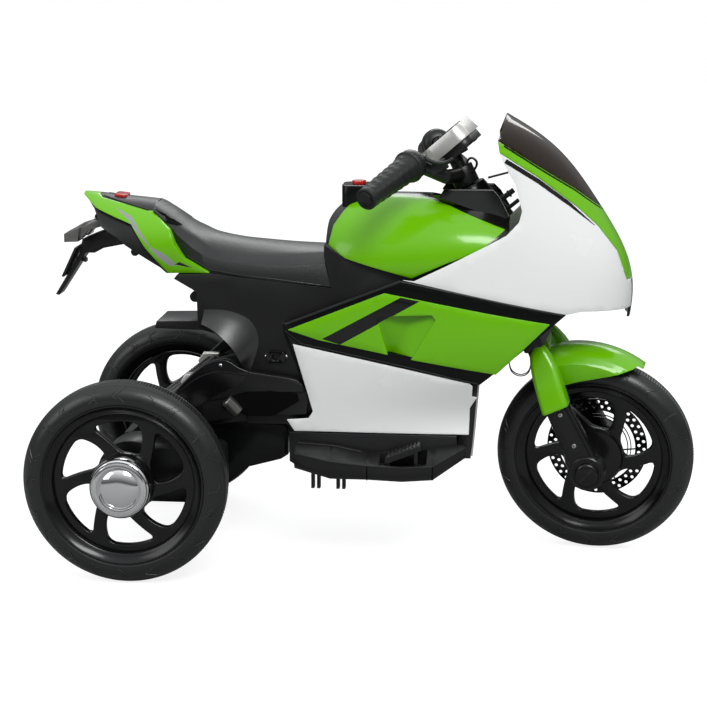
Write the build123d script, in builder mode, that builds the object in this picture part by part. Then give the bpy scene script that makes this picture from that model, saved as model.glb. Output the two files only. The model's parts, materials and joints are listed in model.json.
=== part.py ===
"""A child's battery ride-on motorcycle with two driven rear wheels and one steered front wheel.

The frame stands on the ground: X runs forward, Y to the left and Z up, in millimetres.
Body outlines are drawn from the side, with their first value measured forward of the rear
axle and their second value up from a base line that lies a set distance below that axle.
"""

import os
from math import cos, radians, sin

from build123d import *

os.makedirs("parts", exist_ok=True)

# ---------------------------------------------------------------- driving dimensions
# Running gear
WHEEL_RADIUS = 155.0
TYRE_WIDTH = 59.0
TYRE_SHOULDER = 17.0
SIDEWALL = 31.0
RIM_WALL = 5.0
RIM_LIP = 9.0
RIM_BAND = 29.0
SPOKE_COUNT = 6
SPOKE_START = 48.0
SPOKE_WIDTH = 24.0
SPOKE_THICKNESS = 12.0
SPOKE_SWEEP = 18.0
HUB_RADIUS = 46.0
HUB_BARREL = 28.0
CAP_REACH = 50.0
WHEELBASE = 707.0
DRAWN_WHEELBASE = 707.0
DRAWN_AXLE_HEIGHT = 155.0
HALF_TRACK = 224.0
AXLE_RADIUS = 6.0
BEARING_CLEARANCE = 0.05

# Steering
RAKE = 26.0
STEER_AT_REST = -10.0
STEM_RADIUS = 11.0
LEG_WIDTH = 58.0
LEG_DEPTH = 32.0
LEG_GAP = 48.0
LEG_SPLAY = 18.0
LEG_RIB = 3.0
RIB_TOP = 95.0
HUB_END_RADIUS = 27.0
HUB_END_REACH = 106.0
CROWN_CLEARANCE = 57.0
CROWN_HEIGHT = 30.0
STEM_TOP_FROM_AXLE = 512.0
HEAD_TOP_FROM_AXLE = 333.0
FENDER_WALL = 3.0
FENDER_CLEARANCE = 10.0
FENDER_DROP = 22.0
FENDER_REAR = 18.0
FENDER_ARC = 53.0
BAR_RADIUS = 11.0
BAR_HALF_WIDTH = 215.0
GRIP_RADIUS = 15.5
GRIP_LENGTH = 122.0
DASH_LEAN = 15.0
DASH_THICKNESS = 24.0
DASH_BASE = 13.0
DISC_RADIUS = 80.0
DISC_BAND = 20.0

# Body shell
PANEL = 4.0
SEAM = 0.3
BODY_HALF_WIDTH = 112.0
CORE_INSET = 24.0
CORE_FRONT = 500.0
CORE_WALL = 4.0
CORE_FLOOR = 205.0
BOSS_RADIUS = 7.0
HEADLIGHT_FROM = 690.0
HEADLIGHT_HALF = 26.0
HEADLIGHT_MIDDLE = 412.0
HEADLIGHT_HEIGHT = 60.0
SCOOP_DEPTH = 13.0
SOCKET_RADIUS = 5.5
COVER_TOP = 580.0
LAMP_TOP = 565.0
BRACKET_HALF_WIDTH = 16.0
FLAP_HALF_WIDTH = 18.0
PLATE_HALF_WIDTH = 32.0
INDICATOR_REACH = 36.0
BATTERY_SIZE = (150.0, 64.0, 95.0)
ARM_Y = 60.0
ARM_WALL = 12.0
ARM_LIP = 2.5
GEARBOX_INNER = 128.0
GEARBOX_OUTER = 188.0
GEARBOX_RADIUS = 52.0
FOOT_INNER = 104.0
PEDAL_FLOOR = 160.0
PEDAL_WIDTH = 30.0
BOSS_PLACES = ((300, 380), (440, 415), (290, 300), (470, 235))

# ---------------------------------------------------------------- derived places
STEER_DIRECTION = (-sin(radians(RAKE)), 0.0, cos(radians(RAKE)))
STEER_ACROSS = (cos(radians(RAKE)), 0.0, sin(radians(RAKE)))
RIM_RADIUS = WHEEL_RADIUS - SIDEWALL
WINDOW_RADIUS = RIM_RADIUS - RIM_BAND
CORE_HALF_WIDTH = BODY_HALF_WIDTH - CORE_INSET
CROWN_FROM_AXLE = WHEEL_RADIUS + CROWN_CLEARANCE
REAR_AXLE_X = -WHEELBASE / 2
FRONT_AXLE_X = REAR_AXLE_X + WHEELBASE
lean = abs(sin(radians(STEER_AT_REST)) * sin(radians(RAKE)))
upright = (1.0 - lean * lean) ** 0.5
shoulder_reach = (WHEEL_RADIUS - TYRE_SHOULDER) * upright + (TYRE_WIDTH / 2 - TYRE_SHOULDER) * lean
FRONT_AXLE_Z = shoulder_reach + TYRE_SHOULDER
FRONT_AXLE = Vector(FRONT_AXLE_X, 0, FRONT_AXLE_Z)
REAR_AXLE_Z = WHEEL_RADIUS
BASE_Z = REAR_AXLE_Z - DRAWN_AXLE_HEIGHT
STRETCH = WHEELBASE / DRAWN_WHEELBASE
STEER_AXIS = Axis(FRONT_AXLE, STEER_DIRECTION)


def side(y):
    """A drawing plane that faces the right-hand side, at this Y, from the axle and the base line."""
    return Plane(origin=(REAR_AXLE_X, y, BASE_Z), x_dir=(1, 0, 0), z_dir=(0, -1, 0))


def level(z):
    """A plan plane at this height above the base line, measured forward of the rear axle."""
    return Plane(origin=(REAR_AXLE_X, 0, BASE_Z + z))


def across(x):
    """A plane across the body, at drawn distance x forward of the rear axle, that faces forward."""
    return Plane(origin=(REAR_AXLE_X + x * STRETCH, 0, BASE_Z), x_dir=(0, 1, 0), z_dir=(1, 0, 0))


def drawn(*points):
    """Outline points, moved along with the wheelbase."""
    return [(x * STRETCH, z) for x, z in points]


def body_point(x, y, z):
    """A point of the body: drawn distance x forward of the rear axle, y across, z up from the base line."""
    return Vector(REAR_AXLE_X + x * STRETCH, y, BASE_Z + z)


def steered(u, y, v):
    """A point of the steering assembly: u ahead of its axis, y across, v up it from the front axle."""
    return FRONT_AXLE + Vector(*STEER_ACROSS) * u + Vector(*STEER_DIRECTION) * v + Vector(0, y, 0)


def steer_plane(distance):
    """A plane square to the steering axis, this far up it from the front axle."""
    return Plane(origin=steered(0, 0, distance), x_dir=STEER_ACROSS, z_dir=STEER_DIRECTION)


pieces = {}
steered_pieces = {}


# ---------------------------------------------------------------- wheels
def tyre(centre):
    """A tyre with a crowned tread, bevelled shoulders and a bead that seats on the rim."""
    half = TYRE_WIDTH / 2
    crown = WHEEL_RADIUS
    edge = WHEEL_RADIUS - TYRE_SHOULDER
    bevel = TYRE_SHOULDER * 0.3
    with BuildPart() as ring:
        with BuildSketch(Plane(origin=centre)):
            with BuildLine():
                Polyline(
                    (RIM_RADIUS - RIM_LIP, -half + RIM_LIP),
                    (RIM_RADIUS, -half),
                    (edge, -half),
                    (crown - bevel, -half + bevel),
                    (crown, -half + TYRE_SHOULDER),
                    (crown, half - TYRE_SHOULDER),
                    (crown - bevel, half - bevel),
                    (edge, half),
                    (RIM_RADIUS, half),
                    (RIM_RADIUS - RIM_LIP, half - RIM_LIP),
                    close=True,
                )
            make_face()
        revolve(axis=Axis(centre, (0, 1, 0)))
    return ring


with BuildSketch() as spoke_sketch:
    with BuildLine():
        root = HUB_RADIUS - 4
        outer = WINDOW_RADIUS + 4
        waist = SPOKE_WIDTH / 2
        flare = SPOKE_WIDTH * 0.75
        turned_edge = Vector(0, flare).rotate(Axis.Z, SPOKE_SWEEP)
        end = Vector(outer, 0).rotate(Axis.Z, SPOKE_SWEEP)
        middle = Vector((root + outer) / 2, 0).rotate(Axis.Z, SPOKE_SWEEP * 0.4)
        Polyline(
            (root, -flare),
            middle - Vector(0, waist),
            end - turned_edge,
            end + turned_edge,
            middle + Vector(0, waist),
            (root, flare),
            close=True,
        )
    make_face()
spoke = spoke_sketch.sketch


def rim(centre, outward, bore):
    """A wheel rim: a flanged barrel, six swept spokes and a long hub; outward is -1 on the right."""
    half = TYRE_WIDTH / 2
    seat = RIM_RADIUS - RIM_LIP
    face_plane = Plane(origin=centre, x_dir=(-outward, 0, 0), z_dir=(0, outward, 0))
    with BuildPart() as disc:
        with BuildSketch(Plane(origin=centre)):
            with BuildLine():
                Polyline(
                    (seat - RIM_WALL, -half + RIM_LIP),
                    (seat - RIM_WALL, half - RIM_LIP),
                    (RIM_RADIUS - RIM_WALL, half),
                    (RIM_RADIUS - SEAM, half),
                    (seat - SEAM, half - RIM_LIP),
                    (seat - SEAM, -half + RIM_LIP),
                    (RIM_RADIUS - SEAM, -half),
                    (RIM_RADIUS - RIM_WALL, -half),
                    close=True,
                )
            make_face()
        revolve(axis=Axis(centre, (0, 1, 0)))
        with BuildSketch(face_plane.offset(SPOKE_THICKNESS / 2 - 2)):
            Circle(seat - RIM_WALL / 2)
            Circle(WINDOW_RADIUS, mode=Mode.SUBTRACT)
            Circle(HUB_RADIUS)
            with PolarLocations(0, SPOKE_COUNT, start_angle=SPOKE_START):
                add(spoke)
        extrude(amount=SPOKE_THICKNESS)
        with BuildSketch(face_plane.offset(-half - 2 + SEAM)):
            Circle(HUB_BARREL)
        extrude(amount=TYRE_WIDTH - 6 - SEAM)
        with BuildSketch(face_plane.offset(-half - 2)):
            Circle(bore + BEARING_CLEARANCE)
        extrude(amount=TYRE_WIDTH * 1.5, mode=Mode.SUBTRACT)
    return disc


rear_centres = {
    "right": Vector(REAR_AXLE_X, -HALF_TRACK, REAR_AXLE_Z),
    "left": Vector(REAR_AXLE_X, HALF_TRACK, REAR_AXLE_Z),
}
for name, centre in rear_centres.items():
    outward = -1 if centre.Y < 0 else 1
    pieces[f"rear_tyre_{name}"] = tyre(centre)
    pieces[f"rear_rim_{name}"] = rim(centre, outward, AXLE_RADIUS)
    cap_seat = TYRE_WIDTH / 2 - 8 + SEAM
    with BuildPart() as hub_cap:
        with BuildSketch(Plane(origin=centre)):
            with BuildLine():
                Polyline(
                    (0, outward * cap_seat),
                    (HUB_RADIUS - 2, outward * cap_seat),
                    (HUB_RADIUS, outward * (CAP_REACH - 8)),
                    (HUB_RADIUS - 4, outward * CAP_REACH),
                    (HUB_RADIUS - 15, outward * CAP_REACH),
                    (0, outward * (CAP_REACH + 3)),
                    close=True,
                )
            make_face()
        revolve(axis=Axis(centre, (0, 1, 0)))
    pieces[f"hub_cap_{name}"] = hub_cap

with BuildPart() as rear_axle:
    with BuildSketch(side(-HALF_TRACK - TYRE_WIDTH / 2 + 8)):
        with Locations((0, DRAWN_AXLE_HEIGHT)):
            Circle(AXLE_RADIUS)
    extrude(amount=-(2 * HALF_TRACK + TYRE_WIDTH - 16))
pieces["rear_axle"] = rear_axle

steered_pieces["front_tyre"] = tyre(FRONT_AXLE)
steered_pieces["front_rim"] = rim(FRONT_AXLE, -1, AXLE_RADIUS)

arm_middle = (DISC_RADIUS - DISC_BAND + HUB_BARREL) / 2
with BuildPart() as brake_disc:
    with BuildSketch(Plane.XZ.offset(-(TYRE_WIDTH / 2 + 2))):
        with Locations((FRONT_AXLE.X, FRONT_AXLE.Z)):
            Circle(DISC_RADIUS)
            Circle(DISC_RADIUS - DISC_BAND, mode=Mode.SUBTRACT)
            Circle(HUB_BARREL)
            Circle(AXLE_RADIUS + BEARING_CLEARANCE, mode=Mode.SUBTRACT)
            with PolarLocations(arm_middle, SPOKE_COUNT, start_angle=SPOKE_START):
                Rectangle(DISC_RADIUS - DISC_BAND - HUB_BARREL + 4, 10)
    extrude(amount=-3)
steered_pieces["brake_disc"] = brake_disc

# ---------------------------------------------------------------- fork and handlebar
def mirrored(piece):
    """The left-hand copy of a right-hand piece."""
    with BuildPart() as copy:
        mirror(piece.part, about=Plane.XZ)
    return copy


def pair(piece):
    """A right-hand piece and its mirror image, held as one."""
    with BuildPart() as whole:
        add(piece.part)
        mirror(piece.part, about=Plane.XZ)
    return whole


crown_top = CROWN_FROM_AXLE + CROWN_HEIGHT
axle_reach = HUB_END_REACH - 8

with BuildPart() as front_axle:
    with BuildSketch(Plane.XZ.offset(axle_reach - SEAM)):
        with Locations((FRONT_AXLE.X, FRONT_AXLE.Z)):
            Circle(AXLE_RADIUS)
    extrude(amount=-2 * (axle_reach - SEAM))
steered_pieces["front_axle"] = front_axle

leg_plane = Plane(FRONT_AXLE, x_dir=STEER_ACROSS, z_dir=(0, -1, 0))
leg_head = CROWN_FROM_AXLE - SEAM
leg_middle = LEG_GAP + LEG_DEPTH / 2
with BuildPart() as fork_leg_right:
    with BuildSketch(steer_plane(leg_head)):
        with Locations((0, -leg_middle)):
            RectangleRounded(LEG_WIDTH, LEG_DEPTH, 8)
    with BuildSketch(steer_plane(0)):
        with Locations((0, -leg_middle - LEG_SPLAY)):
            RectangleRounded(2 * HUB_END_RADIUS, LEG_DEPTH, 8)
    loft()
    for rib_place in (-LEG_WIDTH / 5, LEG_WIDTH / 5):
        for height in (RIB_TOP, 0):
            outer_y = LEG_GAP + LEG_DEPTH + LEG_SPLAY * (1 - height / leg_head)
            with BuildSketch(steer_plane(height)):
                with Locations((rib_place, -outer_y)):
                    Rectangle(LEG_RIB * 2, LEG_RIB * 2)
        loft()
    with BuildSketch(leg_plane.offset(LEG_GAP - 8)):
        Circle(HUB_END_RADIUS)
    extrude(amount=HUB_END_REACH - 4 - LEG_GAP + 8)
    with BuildSketch(leg_plane.offset(HUB_END_REACH - 4)):
        Circle(HUB_END_RADIUS - 8)
    extrude(amount=4, taper=30)
    with BuildSketch(leg_plane):
        Circle(AXLE_RADIUS + SEAM)
    extrude(amount=axle_reach, mode=Mode.SUBTRACT)
steered_pieces["fork_leg_right"] = fork_leg_right
steered_pieces["fork_leg_left"] = mirrored(fork_leg_right)

with BuildPart() as fork_crown:
    with BuildSketch(steer_plane(CROWN_FROM_AXLE)):
        RectangleRounded(LEG_WIDTH, 2 * (LEG_GAP + LEG_DEPTH), 12)
    extrude(amount=CROWN_HEIGHT)
    with BuildSketch(steer_plane(crown_top)):
        Circle(STEM_RADIUS)
    extrude(amount=STEM_TOP_FROM_AXLE - crown_top)
steered_pieces["fork_crown"] = fork_crown

# The fender is part of a ring whose middle lies behind and above the axle
fender_radius = WHEEL_RADIUS + FENDER_CLEARANCE + FENDER_WALL
fender_middle = FRONT_AXLE + Vector(-FENDER_DROP, 0, FENDER_CLEARANCE + FENDER_WALL)
fender_half = LEG_GAP - SEAM
stay_foot = fender_radius + FENDER_DROP - FENDER_WALL


def arch(half, radius):
    """Half of a crowned fender section and its mirror image, from foot to foot."""
    right = ((-half, radius - 62), (-half, radius - 22), (-half * 0.72, radius - 7), (-half * 0.3, radius))
    return (*right, *((-y, r) for y, r in right[::-1]))


with BuildPart() as front_fender:
    rear_lean = radians(FENDER_REAR)
    section_plane = Plane(
        origin=fender_middle, x_dir=(0, 1, 0), z_dir=(cos(rear_lean), 0, sin(rear_lean))
    )
    with BuildSketch(section_plane):
        with BuildLine():
            Polyline(
                *arch(fender_half, fender_radius),
                *arch(fender_half - FENDER_WALL, fender_radius - FENDER_WALL)[::-1],
                close=True,
            )
        make_face()
    revolve(axis=Axis(fender_middle, (0, 1, 0)), revolution_arc=FENDER_ARC)
    with BuildSketch(Plane(FRONT_AXLE, x_dir=(1, 0, 0), z_dir=(0, -1, 0))):
        with BuildLine():
            low = WHEEL_RADIUS
            Polyline(
                (-90, low - 45), (-55, low - 34), (-24, low - 24), (21, low - 13), (65, low - 1),
                (74, low - 6), (120, low - 35), (120, low + 100), (-90, low + 100), close=True,
            )
        make_face()
    extrude(amount=LEG_GAP, both=True, mode=Mode.INTERSECT)
    with BuildSketch(leg_plane):
        with Locations((0, (stay_foot + leg_head) / 2)):
            Rectangle(28, leg_head - stay_foot)
    extrude(amount=LEG_GAP / 2, both=True)
steered_pieces["front_fender"] = front_fender

leg_face = Plane(
    steered(0, -LEG_GAP - LEG_DEPTH - LEG_SPLAY, 0),
    x_dir=STEER_ACROSS,
    z_dir=Vector(*STEER_ACROSS).cross(Vector(*STEER_DIRECTION) * leg_head + Vector(0, LEG_SPLAY, 0)),
)
cover_top = leg_head - 3
with BuildPart() as fork_cover:
    with BuildSketch(leg_face.offset(SEAM)):
        with BuildLine():
            front = Spline(
                (10, cover_top - 97), (15, cover_top - 68), (22, cover_top - 25), (31, cover_top)
            )
            rear = Spline(
                (14, cover_top),
                (-4, cover_top - 4),
                (-17, cover_top - 21),
                (-27, cover_top - 59),
                (-29, cover_top - 101),
            )
            Line(rear @ 1, front @ 0)
            Line(front @ 1, rear @ 0)
        make_face()
    extrude(amount=9, taper=20)
steered_pieces["fork_covers"] = pair(fork_cover)

stem_top = STEM_TOP_FROM_AXLE
bar_root = steered(0, 0, stem_top - 22)
bar_elbow = steered(-9.6, -60, stem_top - 9)
bar_bend = steered(-38, -88, stem_top + 32)
bar_end = steered(-93, -BAR_HALF_WIDTH, stem_top + 22)
with BuildPart() as handlebar:
    with BuildLine() as right_path:
        Polyline(bar_root, bar_elbow, bar_bend, bar_end)
    with BuildSketch(Plane(bar_end, z_dir=bar_bend - bar_end)):
        Circle(BAR_RADIUS)
    sweep(transition=Transition.ROUND)
    mirror(about=Plane.XZ)
    with BuildSketch(steer_plane(stem_top - 38)):
        Circle(STEM_RADIUS + 9)
    extrude(amount=28)
    with BuildSketch(steer_plane(stem_top - 40)):
        Circle(STEM_RADIUS + SEAM)
    extrude(amount=60, mode=Mode.SUBTRACT)
steered_pieces["handlebar"] = handlebar

grip_plane = Plane(bar_end, z_dir=bar_bend - bar_end)
with BuildPart() as grip:
    with BuildSketch(grip_plane.offset(-4)):
        Circle(GRIP_RADIUS)
    extrude(amount=GRIP_LENGTH)
    with BuildSketch(grip_plane.offset(GRIP_LENGTH - 8)):
        Circle(GRIP_RADIUS + 7)
    extrude(amount=6)
    with BuildSketch(grip_plane):
        Circle(BAR_RADIUS + SEAM)
    extrude(amount=GRIP_LENGTH, mode=Mode.SUBTRACT)
steered_pieces["grips"] = pair(grip)

lever_root = steered(5, -60, stem_top - 4)
lever_bend = steered(1, -BAR_HALF_WIDTH * 0.52, stem_top + 13)
lever_tip = steered(-32, -BAR_HALF_WIDTH * 0.88, stem_top + 18)
with BuildPart() as brake_lever:
    with BuildLine():
        Polyline(lever_root, lever_bend, lever_tip)
    with BuildSketch(Plane(lever_tip, z_dir=lever_bend - lever_tip)):
        RectangleRounded(11, 7, 3)
    sweep(transition=Transition.RIGHT)
steered_pieces["brake_levers"] = pair(brake_lever)

dash_angle = radians(RAKE + DASH_LEAN)
dash_plane = Plane(
    origin=steered(1.4, 0, stem_top + 46),
    x_dir=(cos(dash_angle), 0, sin(dash_angle)),
    z_dir=(-sin(dash_angle), 0, cos(dash_angle)),
)
with BuildPart() as dash_base:
    with BuildSketch(dash_plane.offset(-DASH_THICKNESS - DASH_BASE)):
        RectangleRounded(72, 92, 18)
    extrude(amount=DASH_BASE)
    with BuildSketch(steer_plane(stem_top + SEAM)):
        Circle(STEM_RADIUS)
    extrude(amount=14)
steered_pieces["dash_base"] = dash_base
with BuildPart() as dash_face:
    with BuildSketch(dash_plane.offset(SEAM - DASH_THICKNESS)):
        RectangleRounded(80, 100, 20)
    extrude(amount=DASH_THICKNESS - SEAM, taper=8)
steered_pieces["dash_face"] = dash_face

# ---------------------------------------------------------------- body shell
# Plan sections: height, nose x, share of the half width at the back, then x and share part way
FAIRING_SECTIONS = (
    (195, 757, 0.93, 640, 0.82),
    (300, 757, 0.97, 650, 0.86),
    (400, 757, 1.00, 660, 0.88),
    (480, 746, 0.98, 660, 0.79),
    (541, 712, 0.93, 640, 0.71),
    (600, 671, 0.86, 612, 0.64),
    (659, 611, 0.77, 572, 0.59),
    (700, 545, 0.66, 520, 0.52),
)
FAIRING_BACK = 215.0


def fairing_volume(inset):
    """The body's outer form, drawn in by this much all round."""
    with BuildPart() as volume:
        for height, nose, width, part_x, part_width in FAIRING_SECTIONS:
            with BuildSketch(level(height)):
                with BuildLine():
                    back = FAIRING_BACK * STRETCH
                    side_y = width * BODY_HALF_WIDTH - inset
                    part_y = part_width * BODY_HALF_WIDTH - inset
                    right = Spline(
                        (back, -side_y),
                        (part_x * STRETCH, -part_y),
                        (nose * STRETCH - inset, 0),
                        tangents=((1, 0), (0, 1)),
                    )
                    left = Spline(
                        (nose * STRETCH - inset, 0),
                        (part_x * STRETCH, part_y),
                        (back, side_y),
                        tangents=((0, 1), (-1, 0)),
                    )
                    Line(left @ 1, right @ 0)
                make_face()
        loft()
    return volume.part


fairing_outer = fairing_volume(0)
fairing_shell = fairing_outer - fairing_volume(PANEL)
overlay_shell = fairing_volume(-PANEL - SEAM) - fairing_volume(-SEAM)


def panel_from(shell, *outline):
    """The right-hand piece of a shell that lies inside this side outline, drawn in by half a seam."""
    with BuildPart() as panel:
        with BuildSketch(side(0)):
            with BuildLine():
                Polyline(*drawn(*outline), close=True)
            make_face()
            offset(amount=-SEAM / 2, kind=Kind.INTERSECTION)
        extrude(amount=2 * BODY_HALF_WIDTH)
        add(shell, mode=Mode.INTERSECT)
    return panel


def saddle(sections, base):
    """A form that straddles the middle: x, crown height, shoulder half width and height, foot width."""
    with BuildPart() as form:
        for x, crown, shoulder, shoulder_z, foot in sections:
            with BuildSketch(across(x)):
                with BuildLine():
                    over = Spline(
                        (-foot, base),
                        (-shoulder, shoulder_z),
                        (0, crown),
                        (shoulder, shoulder_z),
                        (foot, base),
                    )
                    Line(over @ 1, over @ 0)
                make_face()
        loft()
    return form.part


def cut_from(form, *outline):
    """The part of a form that lies inside this side outline."""
    with BuildPart() as piece:
        with BuildSketch(side(0)):
            with BuildLine():
                Polyline(*drawn(*outline), close=True)
            make_face()
            offset(amount=-SEAM / 2, kind=Kind.INTERSECTION)
        extrude(amount=2 * BODY_HALF_WIDTH, both=True)
        add(form, mode=Mode.INTERSECT)
    return piece


# Lines that neighbouring panels share
FRAME_LEFT = (225, 378)
FRAME_PEAK = (405, 449)
FRAME_NOSE = (654, 397)
FRAME_CHIN = (526, 288)
FRAME_HEEL = (227, 364)
NOSE_CHIN = (757, 399)
BAND_REAR = (549, 638)
BAND_LOW = ((607, 601), (667, 556), (699, 527), (729, 489), (746, 443))
SCREEN_REAR = (546, 656)
SCREEN_LOW = ((611, 615), (663, 583), (708, 549), (760, 535))

upper_outline = (
    FRAME_PEAK, (424, 447), (477, 473), (528, 499), (562, 517), (580, 536), (584, 552), (574, 590),
    (556, 622), BAND_REAR, *BAND_LOW, (790, 443), (790, 399), NOSE_CHIN, (677, 401), FRAME_NOSE,
)
band_outline = (BAND_REAR, SCREEN_REAR, *SCREEN_LOW, (790, 535), (790, 443), *BAND_LOW[::-1])
screen_outline = (SCREEN_REAR, (559, 692), (600, 720), (790, 640), (790, 535), *SCREEN_LOW[::-1])

headlight_plane = across(HEADLIGHT_FROM)
upper_right = panel_from(fairing_shell, *upper_outline)
with BuildPart() as fairing_right:
    add(upper_right.part)
    with BuildSketch(headlight_plane):
        with Locations((0, HEADLIGHT_MIDDLE)):
            Rectangle(2 * HEADLIGHT_HALF, HEADLIGHT_HEIGHT)
    extrude(amount=BODY_HALF_WIDTH, mode=Mode.SUBTRACT)
pieces["fairing_right"] = fairing_right
pieces["fairing_left"] = mirrored(fairing_right)

with BuildPart() as headlight:
    with BuildSketch(headlight_plane):
        with Locations((0, HEADLIGHT_MIDDLE)):
            Rectangle(2 * (HEADLIGHT_HALF - SEAM), HEADLIGHT_HEIGHT - 2 * SEAM)
    extrude(amount=BODY_HALF_WIDTH)
    add(fairing_shell, mode=Mode.INTERSECT)
pieces["headlight"] = headlight


def both_sides(right):
    """One piece made of a right-hand half and its mirror image, joined at the middle."""
    with BuildPart() as whole:
        add(right.part)
        mirror(about=Plane.XZ)
    return whole


pieces["nose_band"] = both_sides(panel_from(fairing_shell, *band_outline))
pieces["windscreen"] = both_sides(panel_from(fairing_shell, *screen_outline))

frame_outline = (FRAME_LEFT, FRAME_PEAK, FRAME_NOSE, FRAME_CHIN, (421, 310), (250, 345), FRAME_HEEL)
green_outline = ((232, 369), (380, 429), (630, 384), (550, 306), (421, 327), (279, 354))
lower_outline = (
    (239, 346), (421, 309), (510, 290), (515, 285), (514, 268), (522, 266), (511, 248), (510, 206),
    (240, 207), (228, 225), (262, 228), (269, 239),
)

# The air scoop of a side panel is a trough between its rear and front edges, open at its lower end
scoop_surface = -(BODY_HALF_WIDTH + PANEL)
scoop_valley = scoop_surface + SCOOP_DEPTH
scoop_top = body_point(420, scoop_valley, 394)
scoop_foot = body_point(392, scoop_valley, 336)
scoop_along = scoop_foot - scoop_top
scoop_floor = Plane(scoop_top, z_dir=(body_point(369, scoop_surface, 390) - scoop_top).cross(scoop_along))
scoop_wall = Plane(scoop_top, z_dir=scoop_along.cross(body_point(456, scoop_surface, 397) - scoop_top))


def trough(inset, *outline):
    """The space outside the scoop's floor and wall, sunk deeper by this much, inside a side outline."""
    with BuildPart() as form:
        with BuildSketch(side(0)):
            with BuildLine():
                Polyline(*drawn(*outline), close=True)
            make_face()
        extrude(amount=2 * BODY_HALF_WIDTH)
        split(bisect_by=scoop_floor.offset(-inset), keep=Keep.TOP)
        split(bisect_by=scoop_wall.offset(-inset), keep=Keep.TOP)
    return form.part


scoop_mouth = ((369, 390), (374, 393), (452, 397), (458, 390), (421, 327), (386, 333))
scoop_liner = ((363, 392), (371, 398), (456, 402), (465, 391), (425, 330), (380, 337))
with BuildPart() as side_panel:
    add(panel_from(overlay_shell, *green_outline).part)
    add(fairing_volume(-PANEL - SEAM) & trough(PANEL, *scoop_liner))
    add(trough(0, *scoop_mouth), mode=Mode.SUBTRACT)
with BuildPart() as side_frame:
    add(panel_from(fairing_shell, *frame_outline).part)
    add(trough(PANEL + 2 * SEAM, *scoop_liner), mode=Mode.SUBTRACT)
pieces["side_frame_right"] = side_frame
pieces["side_panel_right"] = side_panel
pieces["lower_panel_right"] = panel_from(fairing_shell, *lower_outline)
for name in ("side_frame", "side_panel", "lower_panel"):
    pieces[f"{name}_left"] = mirrored(pieces[f"{name}_right"])

# ---------------------------------------------------------------- seat, tank and tail
SEAT_LOW = ((108, 450), (157, 444), (228, 437), (296, 430))
seat_form = saddle(
    (
        (8, 553, 50, 544, 70),
        (36, 545, 54, 534, 76),
        (60, 521, 62, 505, 82),
        (106, 507, 74, 484, 86),
        (174, 497, 84, 475, 92),
        (235, 491, 84, 470, 92),
        (300, 493, 80, 474, 90),
    ),
    400,
)
TAIL_TOP = ((-78, 561), (-71, 557), (-42, 551), (5, 540), (14, 540), (23, 533), (44, 514), (52, 493))
seat = cut_from(
    seat_form, *TAIL_TOP[4:], (67, 471), *SEAT_LOW, (284, 478), (284, 600), (22, 600), (16, 548)
)
pieces["seat"] = seat

tank_form = saddle(
    (
        (280, 512, 50, 495, 64),
        (300, 545, 70, 505, 82),
        (340, 564, 78, 520, 90),
        (414, 568, 84, 525, 92),
        (480, 566, 86, 530, 92),
        (530, 560, 86, 525, 90),
        (570, 548, 84, 515, 88),
    ),
    430,
)
TANK_LOW = ((285, 497), (318, 477), (371, 462), (420, 449), (472, 473), (535, 498), (566, 520))
tank_body = cut_from(tank_form, *TANK_LOW, (563, 600), (285, 600))
with BuildPart() as tank:
    add(tank_body.part)
    with BuildSketch(steer_plane(HEAD_TOP_FROM_AXLE)):
        Circle(58)
    extrude(amount=STEM_TOP_FROM_AXLE - HEAD_TOP_FROM_AXLE, mode=Mode.SUBTRACT)
pieces["tank"] = tank

tail_form = saddle(
    (
        (-104, 564, 8, 562, 12),
        (-78, 562, 26, 556, 32),
        (-40, 558, 42, 547, 52),
        (20, 552, 56, 534, 68),
        (107, 517, 78, 478, 88),
    ),
    440,
)
tail_top = cut_from(tail_form, *TAIL_TOP[:5], (16, 548), (22, 600), (-78, 600))
pieces["tail_top"] = tail_top
COWL_LOW = ((41, 446), (6, 487), (-17, 521), (-77, 543), (-104, 560))
tail_cowl = cut_from(
    tail_form, (-110, 600), (-78, 600), *TAIL_TOP, (67, 471), SEAT_LOW[0], *COWL_LOW, (-110, 563)
)
pieces["tail_cowl"] = tail_cowl

# ---------------------------------------------------------------- body core
core_outline = (
    (52, 440), (87, 420), (88, 362), (116, 355), (136, 340), (151, 316), (156, 290), (165, 213), (226, 213),
    (234, CORE_FLOOR), (490, CORE_FLOOR), (510, 288), (CORE_FRONT, 397), (CORE_FRONT, 484), (472, 473),
    *TANK_LOW[3::-1],
    (285, 479), *SEAT_LOW[::-1], (104, 449), (56, 446),
)
with BuildPart() as boss_rods:
    with BuildSketch(side(0)):
        with Locations(*drawn(*BOSS_PLACES)):
            RegularPolygon(BOSS_RADIUS, 6)
    extrude(amount=BODY_HALF_WIDTH, both=True)
    add(fairing_volume(PANEL + 2 * SEAM), mode=Mode.INTERSECT)
panel_bosses = boss_rods.part
with BuildPart() as main_body:
    with BuildSketch(side(0)) as core_sketch:
        with BuildLine():
            Polyline(*drawn(*core_outline), close=True)
        make_face()
        offset(amount=-SEAM, kind=Kind.INTERSECTION)
    extrude(amount=CORE_HALF_WIDTH, both=True)
    with BuildSketch(Plane.XZ):
        add(core_sketch.sketch)
        offset(amount=-CORE_WALL, kind=Kind.INTERSECTION)
    extrude(amount=CORE_HALF_WIDTH - CORE_WALL, both=True, mode=Mode.SUBTRACT)
    add(panel_bosses)
    with BuildSketch(side(0)):
        with BuildLine():
            Polyline(*drawn((11, 353), (14, 364), (90, 366), (90, 351)), close=True)
        make_face()
    extrude(amount=CORE_HALF_WIDTH / 2, both=True)
pieces["main_body"] = main_body

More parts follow.
